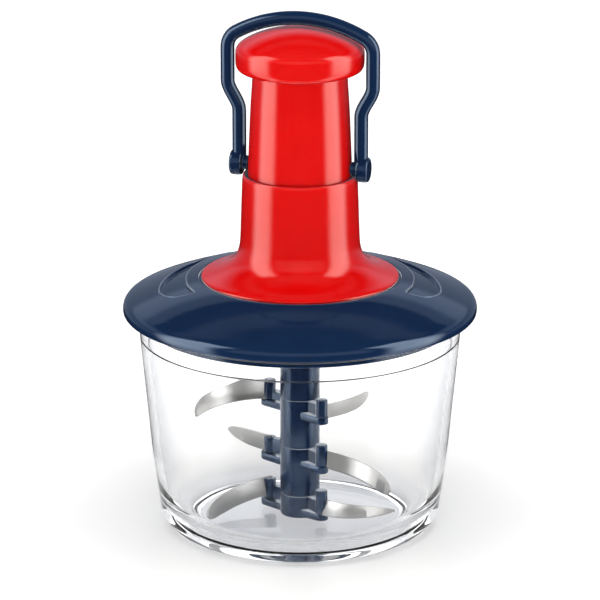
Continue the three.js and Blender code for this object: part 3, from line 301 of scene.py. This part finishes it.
def metal(name, first, second, rough, stretch, scale=300):
    """Ground metal, streaked along the axes that stretch makes fine."""
    mat, nodes, links, shader = new_material(name)
    streak = noise(nodes, links, scale, 5, stretch)
    links.new(mixed(nodes, links, streak, first, second), shader.inputs["Base Color"])
    links.new(ranged(nodes, links, streak, rough[0], rough[1]), shader.inputs["Roughness"])
    links.new(bumped(nodes, links, streak, 0.05, 0.00005), shader.inputs["Normal"])
    shader.inputs["Metallic"].default_value = 1.0
    return mat


def clear_plastic():
    """Clear plastic with painted shade: grey where the upright wall is seen nearly edge on, for the dark surroundings
    seen in and through it, and tinted grey towards the bottom of the foot.
    """
    mat, nodes, links, shader = new_material("clear_bowl_plastic")
    cloud = noise(nodes, links, 14, 3)
    open_tint = mixed(nodes, links, cloud, *OPEN_TINT)
    facing = nodes.new("ShaderNodeLayerWeight")
    facing.inputs["Blend"].default_value = 0.5
    surface = nodes.new("ShaderNodeNewGeometry")
    split = nodes.new("ShaderNodeSeparateXYZ")
    links.new(surface.outputs["Normal"], split.inputs[0])
    # Painted shade on the upright wall where it is seen edge on
    upright = step_up(nodes, links, math_node(nodes, links, "ABSOLUTE", split.outputs["Z"]), *EDGE_SHADE_UPRIGHT)
    edge_on_shade = step_up(nodes, links, facing.outputs["Facing"], *EDGE_SHADE_FACING)
    edge = math_node(nodes, links, "MULTIPLY", edge_on_shade, upright)
    edge_shaded = blended(nodes, links, edge, open_tint, WALL_EDGE_SHADE)
    coord = nodes.new("ShaderNodeTexCoord")
    place = nodes.new("ShaderNodeSeparateXYZ")
    links.new(coord.outputs["Object"], place.inputs[0])
    foot = step_up(nodes, links, place.outputs["Z"], *FOOT_HEIGHT)
    tinted = blended(nodes, links, foot, edge_shaded, FOOT_TINT)
    links.new(tinted, shader.inputs["Base Color"])
    links.new(ranged(nodes, links, noise(nodes, links, 90, 3), 0.0, 0.012), shader.inputs["Roughness"])
    links.new(bumped(nodes, links, noise(nodes, links, 22, 2), 0.02, 0.0003), shader.inputs["Normal"])
    shader.inputs["Transmission Weight"].default_value = 1.0
    shader.inputs["IOR"].default_value = CLEAR_IOR
    return mat


RED = plastic("red_gloss_plastic", (0.80, 0.0012, 0.0014), (0.83, 0.0018, 0.002), (0.13, 0.19), tint=WARM)
NAVY = plastic("navy_gloss_plastic", (0.0070, 0.0220, 0.066), (0.0078, 0.0245, 0.072), (0.05, 0.08), 1.5,
               tint=BLUISH)
NAVY_SHAFT = plastic("navy_shaft_plastic", (0.0052, 0.0150, 0.048), (0.0060, 0.0175, 0.055), (0.17, 0.23), 1.75,
                     tint=BLUISH)
# Painted highlight: the recess rims are a lighter navy than the lid, for the light that their edges catch
NAVY_RIM_HIGHLIGHT = plastic("navy_rim_painted_highlight", (0.15, 0.19, 0.27), (0.17, 0.215, 0.30), (0.10, 0.15), 1.5, tint=BLUISH)
DARK = plastic("dark_seal_rubber", (0.006, 0.008, 0.014), (0.01, 0.013, 0.02), (0.35, 0.5), bump=0.1)
NATURAL = plastic("natural_nylon", (0.74, 0.71, 0.62), (0.8, 0.77, 0.69), (0.35, 0.5), bump=0.08)
BLADE = metal("ground_blade_steel", (0.43, 0.425, 0.415), (0.49, 0.485, 0.475), (0.28, 0.34), (1, 1, 30), 500)
STEEL = metal("plain_steel", (0.45, 0.44, 0.43), (0.55, 0.54, 0.53), (0.25, 0.4), (1, 1, 6))
CLEAR = clear_plastic()


# Geometry helpers
def finish_mesh(name, verts, faces, material, body, replaced=(), angle=35, slot=None):
    """Makes one visible piece that rides a body and replaces CAD nodes."""
    mesh = bpy.data.meshes.new(name)
    mesh.from_pydata([tuple(v) for v in verts], [], faces)
    mesh.update()
    mesh.materials.append(material)
    mesh.shade_smooth()
    mesh.set_sharp_from_angle(angle=math.radians(angle))
    obj = bpy.data.objects.new(name, mesh)
    bpy.context.scene.collection.objects.link(obj)
    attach(obj, body)
    if replaced:
        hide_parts(*replaced)
    return obj


def smooth_line(outline, closed):
    """The outline's points with its corners drawn as short quadratic curves."""
    pts = [np.array(p[:2], float) for p in outline]
    corner = [p[2] if len(p) > 2 else 0 for p in outline]
    out = []
    n = len(pts)
    for i in range(n):
        if corner[i] == 0 or (not closed and i in (0, n - 1)):
            out.append(pts[i])
            continue
        before, here, after = pts[i - 1], pts[i], pts[(i + 1) % n]
        d1, d2 = np.linalg.norm(before - here), np.linalg.norm(after - here)
        if corner[i] == "s":
            c1, c2, steps = d1 / 2, d2 / 2, 6
        else:
            c1, c2, steps = min(corner[i], 0.45 * d1), min(corner[i], 0.45 * d2), 4
        a = here + (before - here) / d1 * c1
        b = here + (after - here) / d2 * c2
        for k in range(steps + 1):
            t = k / steps
            p = (1 - t) ** 2 * a + 2 * t * (1 - t) * here + t ** 2 * b
            if not out or np.linalg.norm(p - out[-1]) > 1e-4:
                out.append(p)
    return out


def split_long(line, first, last, step):
    """Adds points along the line between two radii so that no gap there is longer than step."""
    out = [line[0]]
    for a, b in zip(line[:-1], line[1:]):
        inside = first <= min(a[0], b[0]) and max(a[0], b[0]) <= last
        count = int(np.linalg.norm(b - a) // step) + 1 if inside else 1
        for k in range(1, count + 1):
            out.append(a + (b - a) * k / count)
    return out


def turned_data(line, closed, sides):
    """The line of (radius, height) turned round the upright axis; a closed line gives a ring."""
    angles = np.arange(sides) * 2 * math.pi / sides
    verts, rows = [], []
    for r, z in line:
        if r < 1e-6:
            rows.append([len(verts)])
            verts.append((0, 0, z * MM))
        else:
            rows.append(list(range(len(verts), len(verts) + sides)))
            verts.extend((r * MM * math.cos(a), r * MM * math.sin(a), z * MM) for a in angles)
    faces = []
    count = len(rows) if closed else len(rows) - 1
    for i in range(count):
        a, b = rows[i], rows[(i + 1) % len(rows)]
        for j in range(sides):
            k = (j + 1) % sides
            if len(a) == 1 and len(b) == 1:
                continue
            if len(a) == 1:
                faces.append((a[0], b[k], b[j]))
            elif len(b) == 1:
                faces.append((a[j], a[k], b[0]))
            else:
                faces.append((a[j], a[k], b[k], b[j]))
    return verts, faces


def outward(verts, faces):
    """Turns the faces round if the mesh is inside out."""
    total = 0.0
    for f in faces:
        for i in range(1, len(f) - 1):
            a, b, c = (Vector(verts[k]) for k in (f[0], f[i], f[i + 1]))
            total += a.dot(b.cross(c))
    return faces if total > 0 else [tuple(reversed(f)) for f in faces]


def loft_data(loops):
    """A closed skin over a row of loops with equal counts of points."""
    count = len(loops[0])
    verts = [tuple(v) for loop in loops for v in loop]
    faces = []
    for i in range(len(loops) - 1):
        for j in range(count):
            k = (j + 1) % count
            a = i * count
            faces.append((a + j, a + k, a + count + k, a + count + j))
    last = (len(loops) - 1) * count
    faces.append(tuple(range(count - 1, -1, -1)))
    faces.append(tuple(last + j for j in range(count)))
    return verts, outward(verts, faces)


def joined(parts):
    """Several closed skins as one."""
    verts, faces = [], []
    for v, f in parts:
        base = len(verts)
        verts.extend(tuple(p) for p in v)
        faces.extend(tuple(base + i for i in face) for face in f)
    return verts, faces


def placed(data, matrix):
    """A closed skin moved to its place."""
    verts, faces = data
    return [tuple(matrix @ Vector(v)) for v in verts], faces


def closed_turned(outline, sides=DISC_SIDES):
    """The closed skin that an outline sweeps as it turns round the upright axis."""
    closed = outline[0][0] > 0 or outline[-1][0] > 0
    verts, faces = turned_data(smooth_line(outline, closed), closed, sides)
    return verts, outward(verts, faces)


def turned(name, outline, material, body, replaced, sides=TURNED_SIDES, slot=None):
    """A visible piece that is turned round the upright axis."""
    return finish_mesh(name, *closed_turned(outline, sides), material, body, replaced, slot=slot)


def polar(radius, azimuth):
    """A point in plan from its radius and its azimuth in degrees."""
    a = math.radians(azimuth)
    return radius * math.cos(a), radius * math.sin(a)


# Bowl, lid, housing and plunger
turned("clear_bowl", BOWL, CLEAR, "bowl", ["bowl"], sides=BOWL_SIDES, slot="clear_plastic")


def catmull(points, per):
    """A smooth closed curve through the points, with per steps from each to the next."""
    out = []
    n = len(points)
    for i in range(n):
        p0, p1, p2, p3 = (np.array(points[(i + k - 1) % n]) for k in range(4))
        for j in range(per):
            t = j / per
            out.append(0.5 * ((2 * p1) + (p2 - p0) * t + (2 * p0 - 5 * p1 + 4 * p2 - p3) * t * t
                              + (3 * p1 - p0 - 3 * p2 + p3) * t ** 3))
    return np.array(out)


def recess_edge():
    """The smooth edge of the left recess in plan."""
    return catmull([polar(r, a) for r, a in RECESS_EDGE], RECESS_STEPS)


def recess_drop(x, y):
    """How far the lid's surface is lowered at x, y by the left recess, in millimetres; x mirrored for the right."""
    edge = recess_edge()
    after = np.roll(edge, -1, axis=0)
    px, py = x[:, None], y[:, None]
    dx, dy = after[:, 0] - edge[:, 0], after[:, 1] - edge[:, 1]
    t = ((px - edge[:, 0]) * dx + (py - edge[:, 1]) * dy) / (dx * dx + dy * dy)
    t = np.clip(t, 0, 1)
    gx, gy = px - (edge[:, 0] + t * dx), py - (edge[:, 1] + t * dy)
    dist = np.sqrt(gx * gx + gy * gy)
    near = dist.argmin(axis=1)
    crosses = ((edge[:, 1] > py) != (after[:, 1] > py)) & (
        px < dx * (py - edge[:, 1]) / np.where(dy == 0, 1e-9, dy) + edge[:, 0])
    inside = crosses.sum(axis=1) % 2 == 1
    outer = np.hypot(edge[near, 0], edge[near, 1]) > RECESS_OUTER
    span = np.where(outer, RECESS_WALL_OUTER, RECESS_WALL_INNER)
    share = np.clip(dist.min(axis=1) / span, 0, 1)
    return np.where(inside, RECESS_DEPTH * share * share * (3 - 2 * share), 0)


def lid_slope(radius):
    """A height just under the lid's top surface at a radius, in millimetres."""
    return SLOPE_START[1] - (radius - SLOPE_START[0]) * SLOPE_FALL


def recess_rim(line, sign):
    """A thin rounded rim round one recess, half sunk in the lid's surface."""
    near, far = SLOPE_SPAN
    upper = sorted((r, z) for r, z in line if near <= r <= far and z > lid_slope(r))
    edge = recess_edge()
    level = np.interp(np.hypot(edge[:, 0], edge[:, 1]), [r for r, _ in upper], [z for _, z in upper])
    verts, faces, sides, count = [], [], RIM_SIDES, len(edge)
    for i in range(count):
        along = edge[(i + 1) % count] - edge[i - 1]
        out = np.array((along[1], -along[0])) / np.linalg.norm(along)
        for j in range(sides):
            a = 2 * math.pi * j / sides
            x, y = edge[i] + out * RIM_RADIUS * math.cos(a)
            verts.append((sign * x * MM, y * MM, (level[i] - RIM_SUNK + RIM_RADIUS * math.sin(a)) * MM))
            k, n = (j + 1) % sides, (i + 1) % count
            faces.append((i * sides + j, i * sides + k, n * sides + k, n * sides + j))
    return verts, outward(verts, faces)


def build_lid():
    """The lid's cover with its two finger recesses lowered in, and the small rims round them in lighter navy, a
    painted highlight.
    """
    near, far = RECESS_ZONE
    line = split_long(smooth_line(LID_TOP, True), near, far, LID_STEP)
    verts, faces = turned_data(line, True, LID_SIDES)
    pts = np.array(verts)
    radius = np.hypot(pts[:, 0], pts[:, 1]) / MM
    top = pts[:, 2] / MM > lid_slope(radius)
    pick = np.where((radius > near) & (radius < far) & top & (pts[:, 1] / MM > RECESS_ZONE_FRONT))[0]
    for sign in (1, -1):
        own = pick[sign * pts[pick, 0] < 0]
        pts[own, 2] -= recess_drop(sign * pts[own, 0] / MM, pts[own, 1] / MM) * MM
    verts = [tuple(p) for p in pts]
    # The rims' lighter navy is a painted highlight
    painted_highlight_rims = joined([recess_rim(line, 1), recess_rim(line, -1)])
    finish_mesh("lid_recess_rims_painted_highlight", *painted_highlight_rims, NAVY_RIM_HIGHLIGHT, "lid", (), 40, "navy_plastic")
    faces = outward(verts, faces)
    return finish_mesh("navy_lid_cover", verts, faces, NAVY, "lid", ["lid_cover"], 40, "navy_plastic")


lid_parts = [
    build_lid(),
    turned("lid_inner_plate_skirt", PLATE, NAVY, "lid", ["lid_inner_plate"], slot="navy_plastic"),
    turned("lid_gasket_ring", GASKET, DARK, "lid", ["lid_gasket"], slot="dark_rubber"),
]
red_parts = [
    turned("red_housing_sleeve", HOUSING, RED, "lid", ["drive_housing"], sides=RED_SIDES, slot="red_plastic"),
    turned("red_knob", KNOB, RED, "plunger", ["knob"], sides=RED_SIDES, slot="red_plastic"),
    turned("red_barrel", BARREL, RED, "plunger", ["barrel"], sides=RED_SIDES, slot="red_plastic"),
]
for part in lid_parts + red_parts:
    part.visible_glossy = False
turned("guide_ring", GUIDE, DARK, "lid", ["sleeve_guide_ring"], slot="dark_rubber")


# Bail
def bail_path():
    """The bail's middle line as (sideways, height): a leg, an outward jog, a corner and half the crown, mirrored."""
    leg_steps, jog_steps, corner_steps, crown_steps = 7, 16, 10, 14
    half = [(BAIL_LEG, z) for z in np.linspace(BAIL_FOOT, BAIL_BEND, leg_steps + 1)[:-1]]
    for i in range(jog_steps + 1):
        t = i / jog_steps
        half.append((BAIL_LEG + BAIL_JOG * t * t * (3 - 2 * t), BAIL_BEND + BAIL_JOG_RISE * t))
    shoulder = BAIL_LEG + BAIL_JOG - BAIL_CORNER
    reach = BAIL_CROWN - BAIL_CORNER
    fall = math.asin(shoulder / reach)
    crown_centre = BAIL_TOP - BAIL_CROWN
    corner_height = crown_centre + reach * math.cos(fall)
    for i in range(corner_steps + 1):
        a = math.pi / 2 - (math.pi / 2 - fall) * i / corner_steps
        half.append((shoulder + BAIL_CORNER * math.sin(a), corner_height + BAIL_CORNER * math.cos(a)))
    for i in range(1, crown_steps + 1):
        a = fall * (1 - i / crown_steps)
        half.append((BAIL_CROWN * math.sin(a), crown_centre + BAIL_CROWN * math.cos(a)))
    left = [(-u, z) for u, z in half]
    return left + [(u, z) for u, z in reversed(half[:-1])]


def build_bail():
    """The bail with its two discs, and the pins that it swings on."""
    path = [Vector((u * MM, 0, z * MM)) for u, z in bail_path()]
    loops = []
    for i, p in enumerate(path):
        along = (path[min(i + 1, len(path) - 1)] - path[max(i - 1, 0)]).normalized()
        first = Vector((0, 1, 0)).cross(along).normalized()
        second = along.cross(first)
        loops.append([p + (first * math.cos(a) + second * math.sin(a)) * BAIL_RADIUS * MM
                      for a in (2 * math.pi * j / BAIL_SIDES for j in range(BAIL_SIDES))])
    parts = [loft_data(loops)]
    for sign in (1, -1):
        parts.append(placed(closed_turned(DISC), Matrix.Translation((0, 0, BAIL_AXIS * MM))
                            @ Matrix.Rotation(sign * math.pi / 2, 4, "Y")))
    yaw = Matrix.Rotation(BAIL_YAW, 4, "Z")
    verts, faces = placed(joined(parts), yaw)
    bail = finish_mesh("navy_bail", verts, faces, NAVY, "bail", ["bail"], 40, "navy_plastic")
    bail.visible_glossy = False
    for sign, side in ((1, "right"), (-1, "left")):
        turn = yaw @ Matrix.Translation((0, 0, BAIL_AXIS * MM)) @ Matrix.Rotation(sign * math.pi / 2, 4, "Y")
        verts, faces = placed(closed_turned(PIN), turn)
        pin = finish_mesh(f"bail_pin_{side}", verts, faces, NAVY, "plunger", [f"bail_pivot_pin_{side}"], 40,
                          "navy_plastic")
        pin.visible_glossy = False


build_bail()


# Blade shaft
def blade_loops(blade, stations):
    """Cross-sections along one blade, which curves round in plan and narrows to its tip."""
    px, py = polar(POST_RING, blade["azimuth"])
    place = Vector((px, py, blade["height"]))
    step = blade["length"] / (stations - 1)
    loops = []
    for i in range(-1, stations):
        share = max(i, 0) / (stations - 1)
        heading = math.radians(blade["heading"] + blade["turn"] * share)
        if i > 0:
            mid = math.radians(blade["heading"] + blade["turn"] * (i - 0.5) / (stations - 1))
            place = place + Vector((math.cos(mid), math.sin(mid), 0)) * step
        centre = place.copy()
        if i < 0:
            centre -= Vector((math.cos(heading), math.sin(heading), 0)) * BLADE_TAIL
        centre.z = blade["height"] + blade["rise"] * share
        along = Vector((math.cos(heading), math.sin(heading), 0))
        left = Vector((-math.sin(heading), math.cos(heading), 0))
        lean = math.radians(blade["lean"])
        across = left * math.cos(lean) + Vector((0, 0, math.sin(lean)))
        normal = along.cross(across).normalized()
        past = max(0.0, (share - blade["full"]) / (1 - blade["full"]))
        narrow = math.sqrt(max(0.0, 1 - past * past))
        half, tip, least = blade["width"] / 2, blade["tip"], BLADE_THICKNESS / 2
        up = max(half * (tip + (1 - tip) * narrow), half * tip + least)
        low = min(half * (tip - (1 + tip) * narrow), half * tip - least)
        t = BLADE_THICKNESS / 2
        e = min(BLADE_EDGE, (up - low) / 4)
        bevel = low + e * BLADE_BEVEL
        plan = [(up, t - e), (up - e, t), (bevel, t), (low, BLADE_LIP), (low, -BLADE_LIP), (bevel, -t),
                (up - e, -t), (up, -t + e)]
        loops.append([(centre + across * a + normal * b) * MM for a, b in plan])
    return loops


def plan_hull(points):
    """The convex outline round points in plan."""
    pts = sorted(set(points))

    def half(seq):
        out = []
        for p in seq:
            while len(out) > 1 and ((out[-1][0] - out[-2][0]) * (p[1] - out[-2][1])
                                    - (out[-1][1] - out[-2][1]) * (p[0] - out[-2][0])) <= 0:
                out.pop()
            out.append(p)
        return out[:-1]

    return half(pts) + half(pts[::-1])


def prism(points, low, high, edge=ARM_EDGE):
    """An upright prism over the outline, with its top and bottom corners taken off by edge."""
    cx = sum(p[0] for p in points) / len(points)
    cy = sum(p[1] for p in points) / len(points)

    def loop(inset, z):
        out = []
        for x, y in points:
            d = math.hypot(x - cx, y - cy)
            k = (d - inset) / d
            out.append(Vector(((cx + (x - cx) * k) * MM, (cy + (y - cy) * k) * MM, z * MM)))
        return out

    return loft_data([loop(edge, low), loop(0, low + edge), loop(0, high - edge), loop(edge, high)])


def build_carrier(index, name):
    """One ring of the shaft with its two arms: a flat plate under each post and a web from it up the ring."""
    top = SEAMS[index] - SEAM_GAP
    lowest = index == len(SEAMS) - 1
    low = SHAFT_LOW if lowest else SEAMS[index + 1] + SEAM_GAP
    outline = [
        (SHAFT_BORE, low), (SHAFT_RADIUS, low, SHAFT_LOW_EDGE if lowest else SHAFT_EDGE),
        (SHAFT_RADIUS, top, SHAFT_EDGE), (SHAFT_BORE, top),
    ]
    parts = [closed_turned(outline, SHAFT_SIDES)]
    for blade in (b for b in BLADES if b["carrier"] == index):
        az = blade["azimuth"]
        px, py = polar(POST_RING, az)
        ox, oy = polar(1, az)
        end = ARM_END["left" if az == LEFT else "right"]
        points = [(px + polar(end, a)[0], py + polar(end, a)[1]) for a in range(0, 360, 12)]
        for sign in (1, -1):
            side = sign * ARM_ROOT
            points.append((-oy * side + ox * WEB_HALF, ox * side + oy * WEB_HALF))
        plate_top = blade["post"][0] - ARM_DROP
        parts.append(prism(plan_hull(points), plate_top - ARM_PLATE, plate_top))
        near, far = WEB_REACH
        corners = ((near, WEB_HALF), (near, -WEB_HALF), (far, -WEB_HALF), (far, WEB_HALF))
        web = [(ox * r - oy * s, oy * r + ox * s) for r, s in corners]
        parts.append(prism(web, plate_top - ARM_PLATE, top, WEB_EDGE))
    verts, faces = joined(parts)
    carrier = finish_mesh(f"navy_{name}", verts, faces, NAVY_SHAFT, "blade_stack", [name], 40, "navy_plastic")
    carrier.visible_glossy = False


def build_shaft():
    """The shaft's head, its three rings, the posts and the blades."""
    low = SEAMS[0] + SEAM_GAP
    outline = [
        (SHAFT_BORE, low), (SHAFT_RADIUS, low, SHAFT_EDGE), (SHAFT_RADIUS, SHAFT_SHOULDER, SHAFT_TOP_EDGE),
        (NECK_RADIUS, SHAFT_SHOULDER), (NECK_RADIUS, NECK_TOP), (SHAFT_BORE, NECK_TOP),
    ]
    parts = [closed_turned(outline, SHAFT_SIDES)]
    corner = HEX_ACROSS / 2 / math.cos(math.pi / 6)
    parts.append(prism([polar(corner, 60 * k) for k in range(6)], SHAFT_SHOULDER - 1, HEX_TOP))
    verts, faces = joined(parts)
    head = finish_mesh("navy_shaft_head", verts, faces, NAVY_SHAFT, "blade_stack", ["shaft_head_tube"], 40,
                       "navy_plastic")
    head.visible_glossy = False
    for i, name in enumerate(("blade_carrier_top", "blade_carrier_middle", "blade_carrier_bottom")):
        build_carrier(i, name)
    for blade in BLADES:
        x, y = polar(POST_RING, blade["azimuth"])
        low, high = blade["post"]
        outline = [(0, low), (POST_RADIUS, low, POST_LOW_EDGE), (POST_RADIUS, high, POST_TOP_EDGE), (0, high)]
        data = placed(closed_turned(outline, POST_SIDES), Matrix.Translation((x * MM, y * MM, 0)))
        node = f"blade_post_{blade['name']}"
        finish_mesh(f"post_{blade['name']}", *data, NAVY_SHAFT, "blade_stack", [node], 40, "navy_plastic")
        data = loft_data(blade_loops(blade, BLADE_STATIONS))
        node = f"blade_{blade['name']}"
        finish_mesh(f"steel_{node}", *data, BLADE, "blade_stack", [node], 30, "blade_steel")


build_shaft()

# CAD nodes that stay get their materials
KEPT = {
    "spindle_nut": NATURAL, "spindle_bearing": NATURAL, "drive_hub": NATURAL, "spring_seat": NATURAL,
    "bowl_pivot_pin": STEEL, "twisted_spindle": STEEL, "clutch_ratchet": STEEL, "hub_retaining_clip": STEEL,
    "return_spring": STEEL, "shaft_core_rod": STEEL, "knob_screw": STEEL, "nut_screw_left": STEEL,
    "nut_screw_right": STEEL,
}
for i in range(1, 5):
    KEPT[f"housing_screw_{i}"] = STEEL
    KEPT[f"inner_plate_screw_{i}"] = STEEL
for node, material in KEPT.items():
    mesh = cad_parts[node].data
    mesh.materials.clear()
    mesh.materials.append(material)
    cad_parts[node].visible_glossy = False


# Stage: floor, world light, lamps and camera. A soft step starts at the first number of a pair and ends at the
# second. For the world they are a direction's height, except back and BACKWARD, its share to the back, and near, far
# and side, that share seen from above. For the floor they are metres
BAND = dict(top=(0.59, 0.57), foot=(-0.22, -0.12), back=(-0.1, 0.25), glow=0.31, tint=(0.78, 0.92, 1.15))
STRIP = dict(low=(0.30, 0.37), high=(0.52, 0.47), glow=0.34)
PANEL = dict(near=(-0.62, -0.40), far=(0.32, 0.0), top=(0.86, 0.8), foot=(-0.45, -0.12), glow=5.8, inside=2.9)
PATCH = dict(low=(0.68, 0.73), high=(0.83, 0.78), glow=0.18)
FRONT = dict(side=(-0.62, -0.75), low=(-0.02, 0.1), high=(0.75, 0.6), glow=0.7)
REST_GLOW = 0.015
BACKWARD = (-0.05, 0.12)
FLOOR_TONES = ((0.935, 0.93, 0.918), (0.955, 0.95, 0.938))
FLOOR_ROUGHNESS = (0.3, 0.35)
FLOOR_IOR = 1.22
FLOOR_GLOW = (1, 0.99, 0.975, 1)
FLOOR_HALF = 12
FLOOR_DROP = 0.0002
FLOOR_NEAR_GLOW = 0.28
FLOOR_FAR_GLOW = 0.28
FLOOR_FAR = (0.10, 0.35)
FLOOR_MIRRORED = (0.13, 0.17)
FLOOR_BACK = (0.0, 0.06)
# Lamps as (name, place, target, size in metres, power in watts)
LAMPS = [
    ("overhead_softbox", (0, -0.2, 2.4), (0, 0, 0.1), 3.0, 49),
    ("left_softbox", (-2.2, -0.8, 1.1), (0, 0, 0.15), 2.2, 13),
    ("right_softbox", (2.2, -0.8, 1.1), (0, 0, 0.15), 2.2, 13),
    ("front_softbox", (0, -2.6, 1.4), (0, 0, 0.15), 2.2, 20),
    ("back_softbox", (0, 2.6, 1.4), (0, 0, 0.15), 2.2, 14),
]


def light_path(nodes, links):
    """Whether light met a mirror-like surface, passed the bowl, and ran to and fro inside one wall."""
    path = nodes.new("ShaderNodeLightPath")
    met = math_node(nodes, links, "GREATER_THAN", path.outputs["Glossy Depth"], 0.5)
    passed = math_node(nodes, links, "GREATER_THAN", path.outputs["Transmission Depth"], 0.5)
    one_wall = math_node(nodes, links, "LESS_THAN", path.outputs["Transmission Depth"], 3.5)
    often = math_node(nodes, links, "GREATER_THAN", path.outputs["Glossy Depth"], 1.5)
    return met, passed, math_node(nodes, links, "MULTIPLY", one_wall, often)


def build_floor():
    """A pale floor, brighter far away; mirror images leave out all of it but the part under the object."""
    mat, nodes, links, shader = new_material("pale_floor")
    cloud = noise(nodes, links, 3, 4)
    links.new(mixed(nodes, links, cloud, *FLOOR_TONES), shader.inputs["Base Color"])
    links.new(ranged(nodes, links, noise(nodes, links, 40, 3), *FLOOR_ROUGHNESS), shader.inputs["Roughness"])
    shader.inputs["IOR"].default_value = FLOOR_IOR
    shader.inputs["Emission Color"].default_value = FLOOR_GLOW
    coord = nodes.new("ShaderNodeTexCoord")
    length = nodes.new("ShaderNodeVectorMath")
    length.operation = "LENGTH"
    links.new(coord.outputs["Object"], length.inputs[0])
    away = length.outputs["Value"]
    far = math_node(nodes, links, "MULTIPLY", step_up(nodes, links, away, *FLOOR_FAR), FLOOR_FAR_GLOW)
    links.new(math_node(nodes, links, "ADD", far, FLOOR_NEAR_GLOW), shader.inputs["Emission Strength"])
    clear = nodes.new("ShaderNodeBsdfTransparent")
    mix = nodes.new("ShaderNodeMixShader")
    split = nodes.new("ShaderNodeSeparateXYZ")
    links.new(coord.outputs["Object"], split.inputs[0])
    met, passed, guided = light_path(nodes, links)
    at_back = step_up(nodes, links, split.outputs["Y"], *FLOOR_BACK)
    kept = math_node(nodes, links, "MULTIPLY", passed, math_node(nodes, links, "MAXIMUM", at_back, guided))
    mirrored = math_node(nodes, links, "MULTIPLY", met, math_node(nodes, links, "SUBTRACT", 1.0, kept))
    left_out = math_node(nodes, links, "MULTIPLY", step_up(nodes, links, away, *FLOOR_MIRRORED), mirrored)
    links.new(left_out, mix.inputs[0])
    links.new(shader.outputs[0], mix.inputs[1])
    links.new(clear.outputs[0], mix.inputs[2])
    links.new(mix.outputs[0], nodes["Material Output"].inputs["Surface"])
    verts = [(x * FLOOR_HALF, y * FLOOR_HALF, -FLOOR_DROP) for x, y in ((-1, -1), (1, -1), (1, 1), (-1, 1))]
    mesh = bpy.data.meshes.new("floor")
    mesh.from_pydata(verts, [], [(0, 1, 2, 3)])
    mesh.materials.append(mat)
    obj = bpy.data.objects.new("floor", mesh)
    bpy.context.scene.collection.objects.link(obj)


def build_world():
    """Two soft panels beside the object, a low band behind it, a weak one in front, and a dim rest."""
    world = bpy.data.worlds.new("studio")
    bpy.context.scene.world = world
    world.use_nodes = True
    nodes, links = world.node_tree.nodes, world.node_tree.links
    background = nodes["Background"]
    coord = nodes.new("ShaderNodeTexCoord")
    split = nodes.new("ShaderNodeSeparateXYZ")
    links.new(coord.outputs["Generated"], split.inputs[0])
    x, y, z = (split.outputs[k] for k in range(3))

    def times(first, second):
        return math_node(nodes, links, "MULTIPLY", first, second)

    def plus(first, second):
        return math_node(nodes, links, "ADD", first, second)

    def step(value, pair):
        return step_up(nodes, links, value, *pair)

    met, passed, guided = light_path(nodes, links)
    behind = step(y, BAND["back"])
    flat = math_node(nodes, links, "SQRT", plus(times(x, x), times(y, y)))
    level = math_node(nodes, links, "DIVIDE", y, math_node(nodes, links, "MAXIMUM", flat, 0.001))
    low = plus(times(step(z, PANEL["foot"]), 0.5), 0.5)
    panel = times(times(step(level, PANEL["near"]), step(level, PANEL["far"])), times(step(z, PANEL["top"]), low))
    panel_glow = math_node(nodes, links, "SUBTRACT", PANEL["glow"], times(passed, PANEL["inside"]))
    patch = times(times(step(z, PATCH["low"]), step(z, PATCH["high"])), behind)
    front = times(step(level, FRONT["side"]), times(step(z, FRONT["low"]), step(z, FRONT["high"])))
    studio = plus(plus(times(panel, panel_glow), times(patch, PATCH["glow"])),
                  plus(times(front, FRONT["glow"]), REST_GLOW))
    strip = times(step(z, STRIP["low"]), step(z, STRIP["high"]))
    band = times(times(step(z, BAND["top"]), step(z, BAND["foot"])), behind)
    glow = times(band, plus(times(strip, STRIP["glow"]), BAND["glow"]))
    straight = math_node(nodes, links, "SUBTRACT", 1.0, met)
    direct = math_node(nodes, links, "MAXIMUM", straight, guided)
    through = times(passed, math_node(nodes, links, "MAXIMUM", direct, step(y, BACKWARD)))
    rest = math_node(nodes, links, "SUBTRACT", 1.0, through)
    colour = nodes.new("ShaderNodeCombineColor")
    for socket, tint in zip(colour.inputs, BAND["tint"]):
        links.new(plus(times(plus(studio, times(glow, tint)), rest), through), socket)
    links.new(colour.outputs["Color"], background.inputs["Color"])
    world.cycles_visibility.diffuse = False


def area_light(name, place, target, size, power):
    """A round lamp that mirror images leave out."""
    data = bpy.data.lights.new(name, "AREA")
    data.shape = "DISK"
    data.size = size
    data.energy = power
    obj = bpy.data.objects.new(name, data)
    bpy.context.scene.collection.objects.link(obj)
    obj.location = place
    obj.rotation_euler = (Vector(target) - Vector(place)).to_track_quat("-Z", "Y").to_euler()
    obj.visible_glossy = False


def build_camera():
    """The photo's camera, in front of the object and a little above it."""
    data = bpy.data.cameras.new("photo_camera")
    data.sensor_width = SENSOR
    data.sensor_fit = "HORIZONTAL"
    data.lens = FOCAL_PX / FRAME * SENSOR
    data.clip_end = VIEW_END
    obj = bpy.data.objects.new("photo_camera", data)
    bpy.context.scene.collection.objects.link(obj)
    reach = FOCAL_PX * PIXEL * MM
    target = Vector((0, 0, TARGET_HEIGHT * MM))
    obj.location = target + Vector((0, -math.cos(ELEVATION), math.sin(ELEVATION))) * reach
    obj.rotation_euler = (target - obj.location).to_track_quat("-Z", "Y").to_euler()
    bpy.context.scene.camera = obj


build_floor()
build_world()
for lamp in LAMPS:
    area_light(*lamp)
build_camera()
bpy.context.scene.view_settings.view_transform = "Standard"
